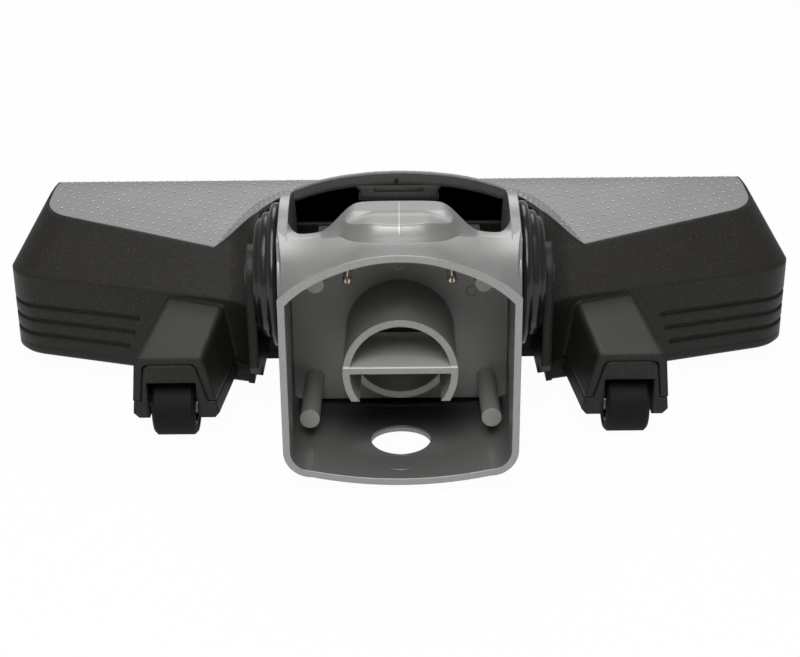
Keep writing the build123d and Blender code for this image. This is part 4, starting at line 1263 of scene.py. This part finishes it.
@dataclass
class BrushRoller:
    """Driven roller with its bristle tufts."""

    x0: float = -124.5
    x1: float = 138.5
    end_gap: float = 1.2
    core_r: float = 15.0
    tip_r: float = 24.9
    root: float = 0.6
    rows: int = 4
    twist: float = 100.0
    step: float = 3.3
    tuft_r: float = 0.95
    flares: tuple[Span, ...] = ((0.3, 1.18), (0.2, 1.12))
    hollow: Span = (0.45, 0.7)

    def tuft(self) -> bpy.types.Object:
        """Model one flared tuft that stands up from the origin.

        Returns:
            The tuft.
        """
        Bench.clear()
        length = self.tip_r - self.core_r + self.root
        bpy.ops.mesh.primitive_cylinder_add(vertices=8, radius=self.tuft_r * MM, depth=length * 0.5 * MM,
                                            location=(0, 0, length * 0.25 * MM))
        obj = Bench.named("tuft_model")
        Bench.settle(obj)
        bpy.ops.object.mode_set(mode="EDIT")
        for part, flare in self.flares:
            Bench.pick_faces(obj, lambda centre, normal: normal.z > 0.9)
            bpy.ops.mesh.extrude_region_move(
                TRANSFORM_OT_translate={"value": (0, 0, length * part * MM)})
            bpy.ops.transform.resize(value=(flare, flare, 1.0))
        width, depth = self.hollow
        bpy.ops.mesh.inset(thickness=width * MM, depth=-depth * MM)
        bpy.ops.object.mode_set(mode="OBJECT")
        Bench.smooth(obj, 50.0)
        return obj

    def places(self) -> list[Matrix]:
        """Wind the tufts round the core.

        Returns:
            One placing matrix per tuft.
        """
        found = []
        count = int((self.x1 - self.x0 - 2.0 * self.end_gap) / self.step)
        for row in range(self.rows):
            for i in range(count + 1):
                x = self.x0 + self.end_gap + i * self.step
                share = (x - self.x0) / (self.x1 - self.x0)
                angle = math.radians(360.0 / self.rows * row + self.twist * share)
                out = Vector((0, math.cos(angle), math.sin(angle)))
                root = Vector((x, ROLLER_Y, ROLLER_Z)) + out * (self.core_r - self.root)
                found.append(stand(root * MM, out))
        return found

    def build(self) -> None:
        """Make the tufts and dress the roller."""
        dark = DARK_MOULDED.make()
        dress("roller_shaft", SHAFT_STEEL.make())
        dress("roller_core", dark)
        dress("roller_pulley", dark)
        tufts = Bench.repeat(self.tuft(), self.places(), "bristle_tufts")
        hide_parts("bristle_strips")
        place_piece(tufts, Body.BRUSH, BRISTLE.make())


@dataclass
class Drive:
    """Motor, belt and board inside the body."""

    def build(self) -> None:
        """Dress the drive."""
        metal = MOTOR_STEEL.make()
        for node in ("motor_can", "motor_strap", "motor_pulley"):
            dress(node, metal)
        dress("motor_rotor", SHAFT_STEEL.make())
        dress("motor_cap", DARK_MOULDED.make())
        dress("drive_belt", BELT_RUBBER.make())
        dress("control_board", BOARD.make())


@dataclass(frozen=True)
class Lamp:
    """Square soft lamp, with its places and its side in metres."""

    name: str
    place: Triple
    target: Triple
    side: float
    watts: float

    def hang(self) -> None:
        """Hang the lamp and point it at its target."""
        data = bpy.data.lights.new(self.name, "AREA")
        data.size = self.side
        data.energy = self.watts
        lamp = bpy.data.objects.new(self.name, data)
        lamp.location = self.place
        aim = Vector(self.target) - Vector(self.place)
        lamp.rotation_euler = aim.to_track_quat("-Z", "Y").to_euler()
        bpy.context.scene.collection.objects.link(lamp)


@dataclass
class Studio:
    """Pale floor, soft lamps and the camera, with places in metres."""

    lens: float = 65.0
    sensor: float = 36.0
    eye: Triple = (0.0, -0.539, 0.2387)
    pitch: float = 22.0
    roll: float = -0.5
    daylight: float = 0.08
    gleam: float = 0.34
    floor_side: float = 8.0
    floor_z: float = -0.0002
    floor_white: float = 0.97
    lamps: tuple[Lamp, ...] = (
        Lamp("key_lamp", (-0.08, -0.40, 1.15), (0.0, -0.03, 0.04), 0.8, 8.5),
        Lamp("front_lamp", (-0.05, -0.90, 0.85), (0.0, -0.03, 0.04), 0.5, 5.5),
        Lamp("back_lamp", (0.0, 0.75, 0.80), (0.0, -0.05, 0.06), 0.6, 2.5))

    def floor(self) -> None:
        """Lay a pale floor that stays white to the camera and takes a faint shadow."""
        Bench.clear()
        bpy.ops.mesh.primitive_plane_add(size=self.floor_side, location=(0, 0, self.floor_z))
        floor = Bench.named("studio_floor")
        Bench.settle(floor)
        web = Web("studio_floor")
        path = web.node("ShaderNodeLightPath")
        seen = Val(web, path.outputs["Is Camera Ray"]).top(Val(web, path.outputs["Is Transmission Ray"]))
        seen = (seen * self.floor_white).top(Val(web, path.outputs["Is Glossy Ray"]) * self.gleam)
        matt = web.node("ShaderNodeBsdfDiffuse", None, {"Color": (0.85, 0.85, 0.85, 1.0)})
        glow = web.node("ShaderNodeEmission", None, {"Color": (1.0, 1.0, 1.0, 1.0), "Strength": 1.0})
        both = web.node("ShaderNodeMixShader", None,
                        {0: seen, 1: Val(web, matt.outputs[0]), 2: Val(web, glow.outputs[0])})
        floor.data.materials.append(web.close(both))

    def world(self) -> None:
        """Light the room evenly, white where it is seen."""
        world = bpy.data.worlds.new("studio_room")
        world.use_nodes = True
        bpy.context.scene.world = world
        tree = world.node_tree
        tree.nodes.clear()
        path = tree.nodes.new("ShaderNodeLightPath")
        shader = None
        for strength, ray in ((self.daylight, ""), (self.gleam, "Is Glossy Ray"), (1.0, "Is Camera Ray")):
            light = tree.nodes.new("ShaderNodeBackground")
            light.inputs["Strength"].default_value = strength
            light.inputs["Color"].default_value = (1.0, 1.0, 1.0, 1.0)
            if shader is None:
                shader = light
                continue
            mix = tree.nodes.new("ShaderNodeMixShader")
            tree.links.new(path.outputs[ray], mix.inputs[0])
            tree.links.new(shader.outputs[0], mix.inputs[1])
            tree.links.new(light.outputs[0], mix.inputs[2])
            shader = mix
        out = tree.nodes.new("ShaderNodeOutputWorld")
        tree.links.new(shader.outputs[0], out.inputs[0])

    def camera(self) -> None:
        """Set the camera where the photograph was taken from."""
        data = bpy.data.cameras.new("photo_camera")
        data.lens = self.lens
        data.sensor_width = self.sensor
        data.clip_start = 0.01
        camera = bpy.data.objects.new("photo_camera", data)
        tilt = Matrix.Rotation(math.radians(90.0 - self.pitch), 3, "X")
        camera.location = self.eye
        camera.rotation_euler = (tilt @ Matrix.Rotation(math.radians(self.roll), 3, "Z")).to_euler()
        bpy.context.scene.collection.objects.link(camera)
        bpy.context.scene.camera = camera

    def build(self) -> None:
        """Set up floor, light and camera."""
        self.floor()
        self.world()
        for lamp in self.lamps:
            lamp.hang()
        self.camera()
        bpy.context.scene.view_settings.view_transform = "Standard"


def main() -> None:
    """Build every sub-assembly in order."""
    logging.basicConfig(level=logging.INFO, format="%(name)s: %(message)s")
    for part in (Studio(), Housing(), TopPlate(), TiltJoint(), Connector(), BrushRoller(), Drive()):
        LOG.info("building %s", type(part).__name__)
        part.build()


if __name__ == "__main__":
    main()
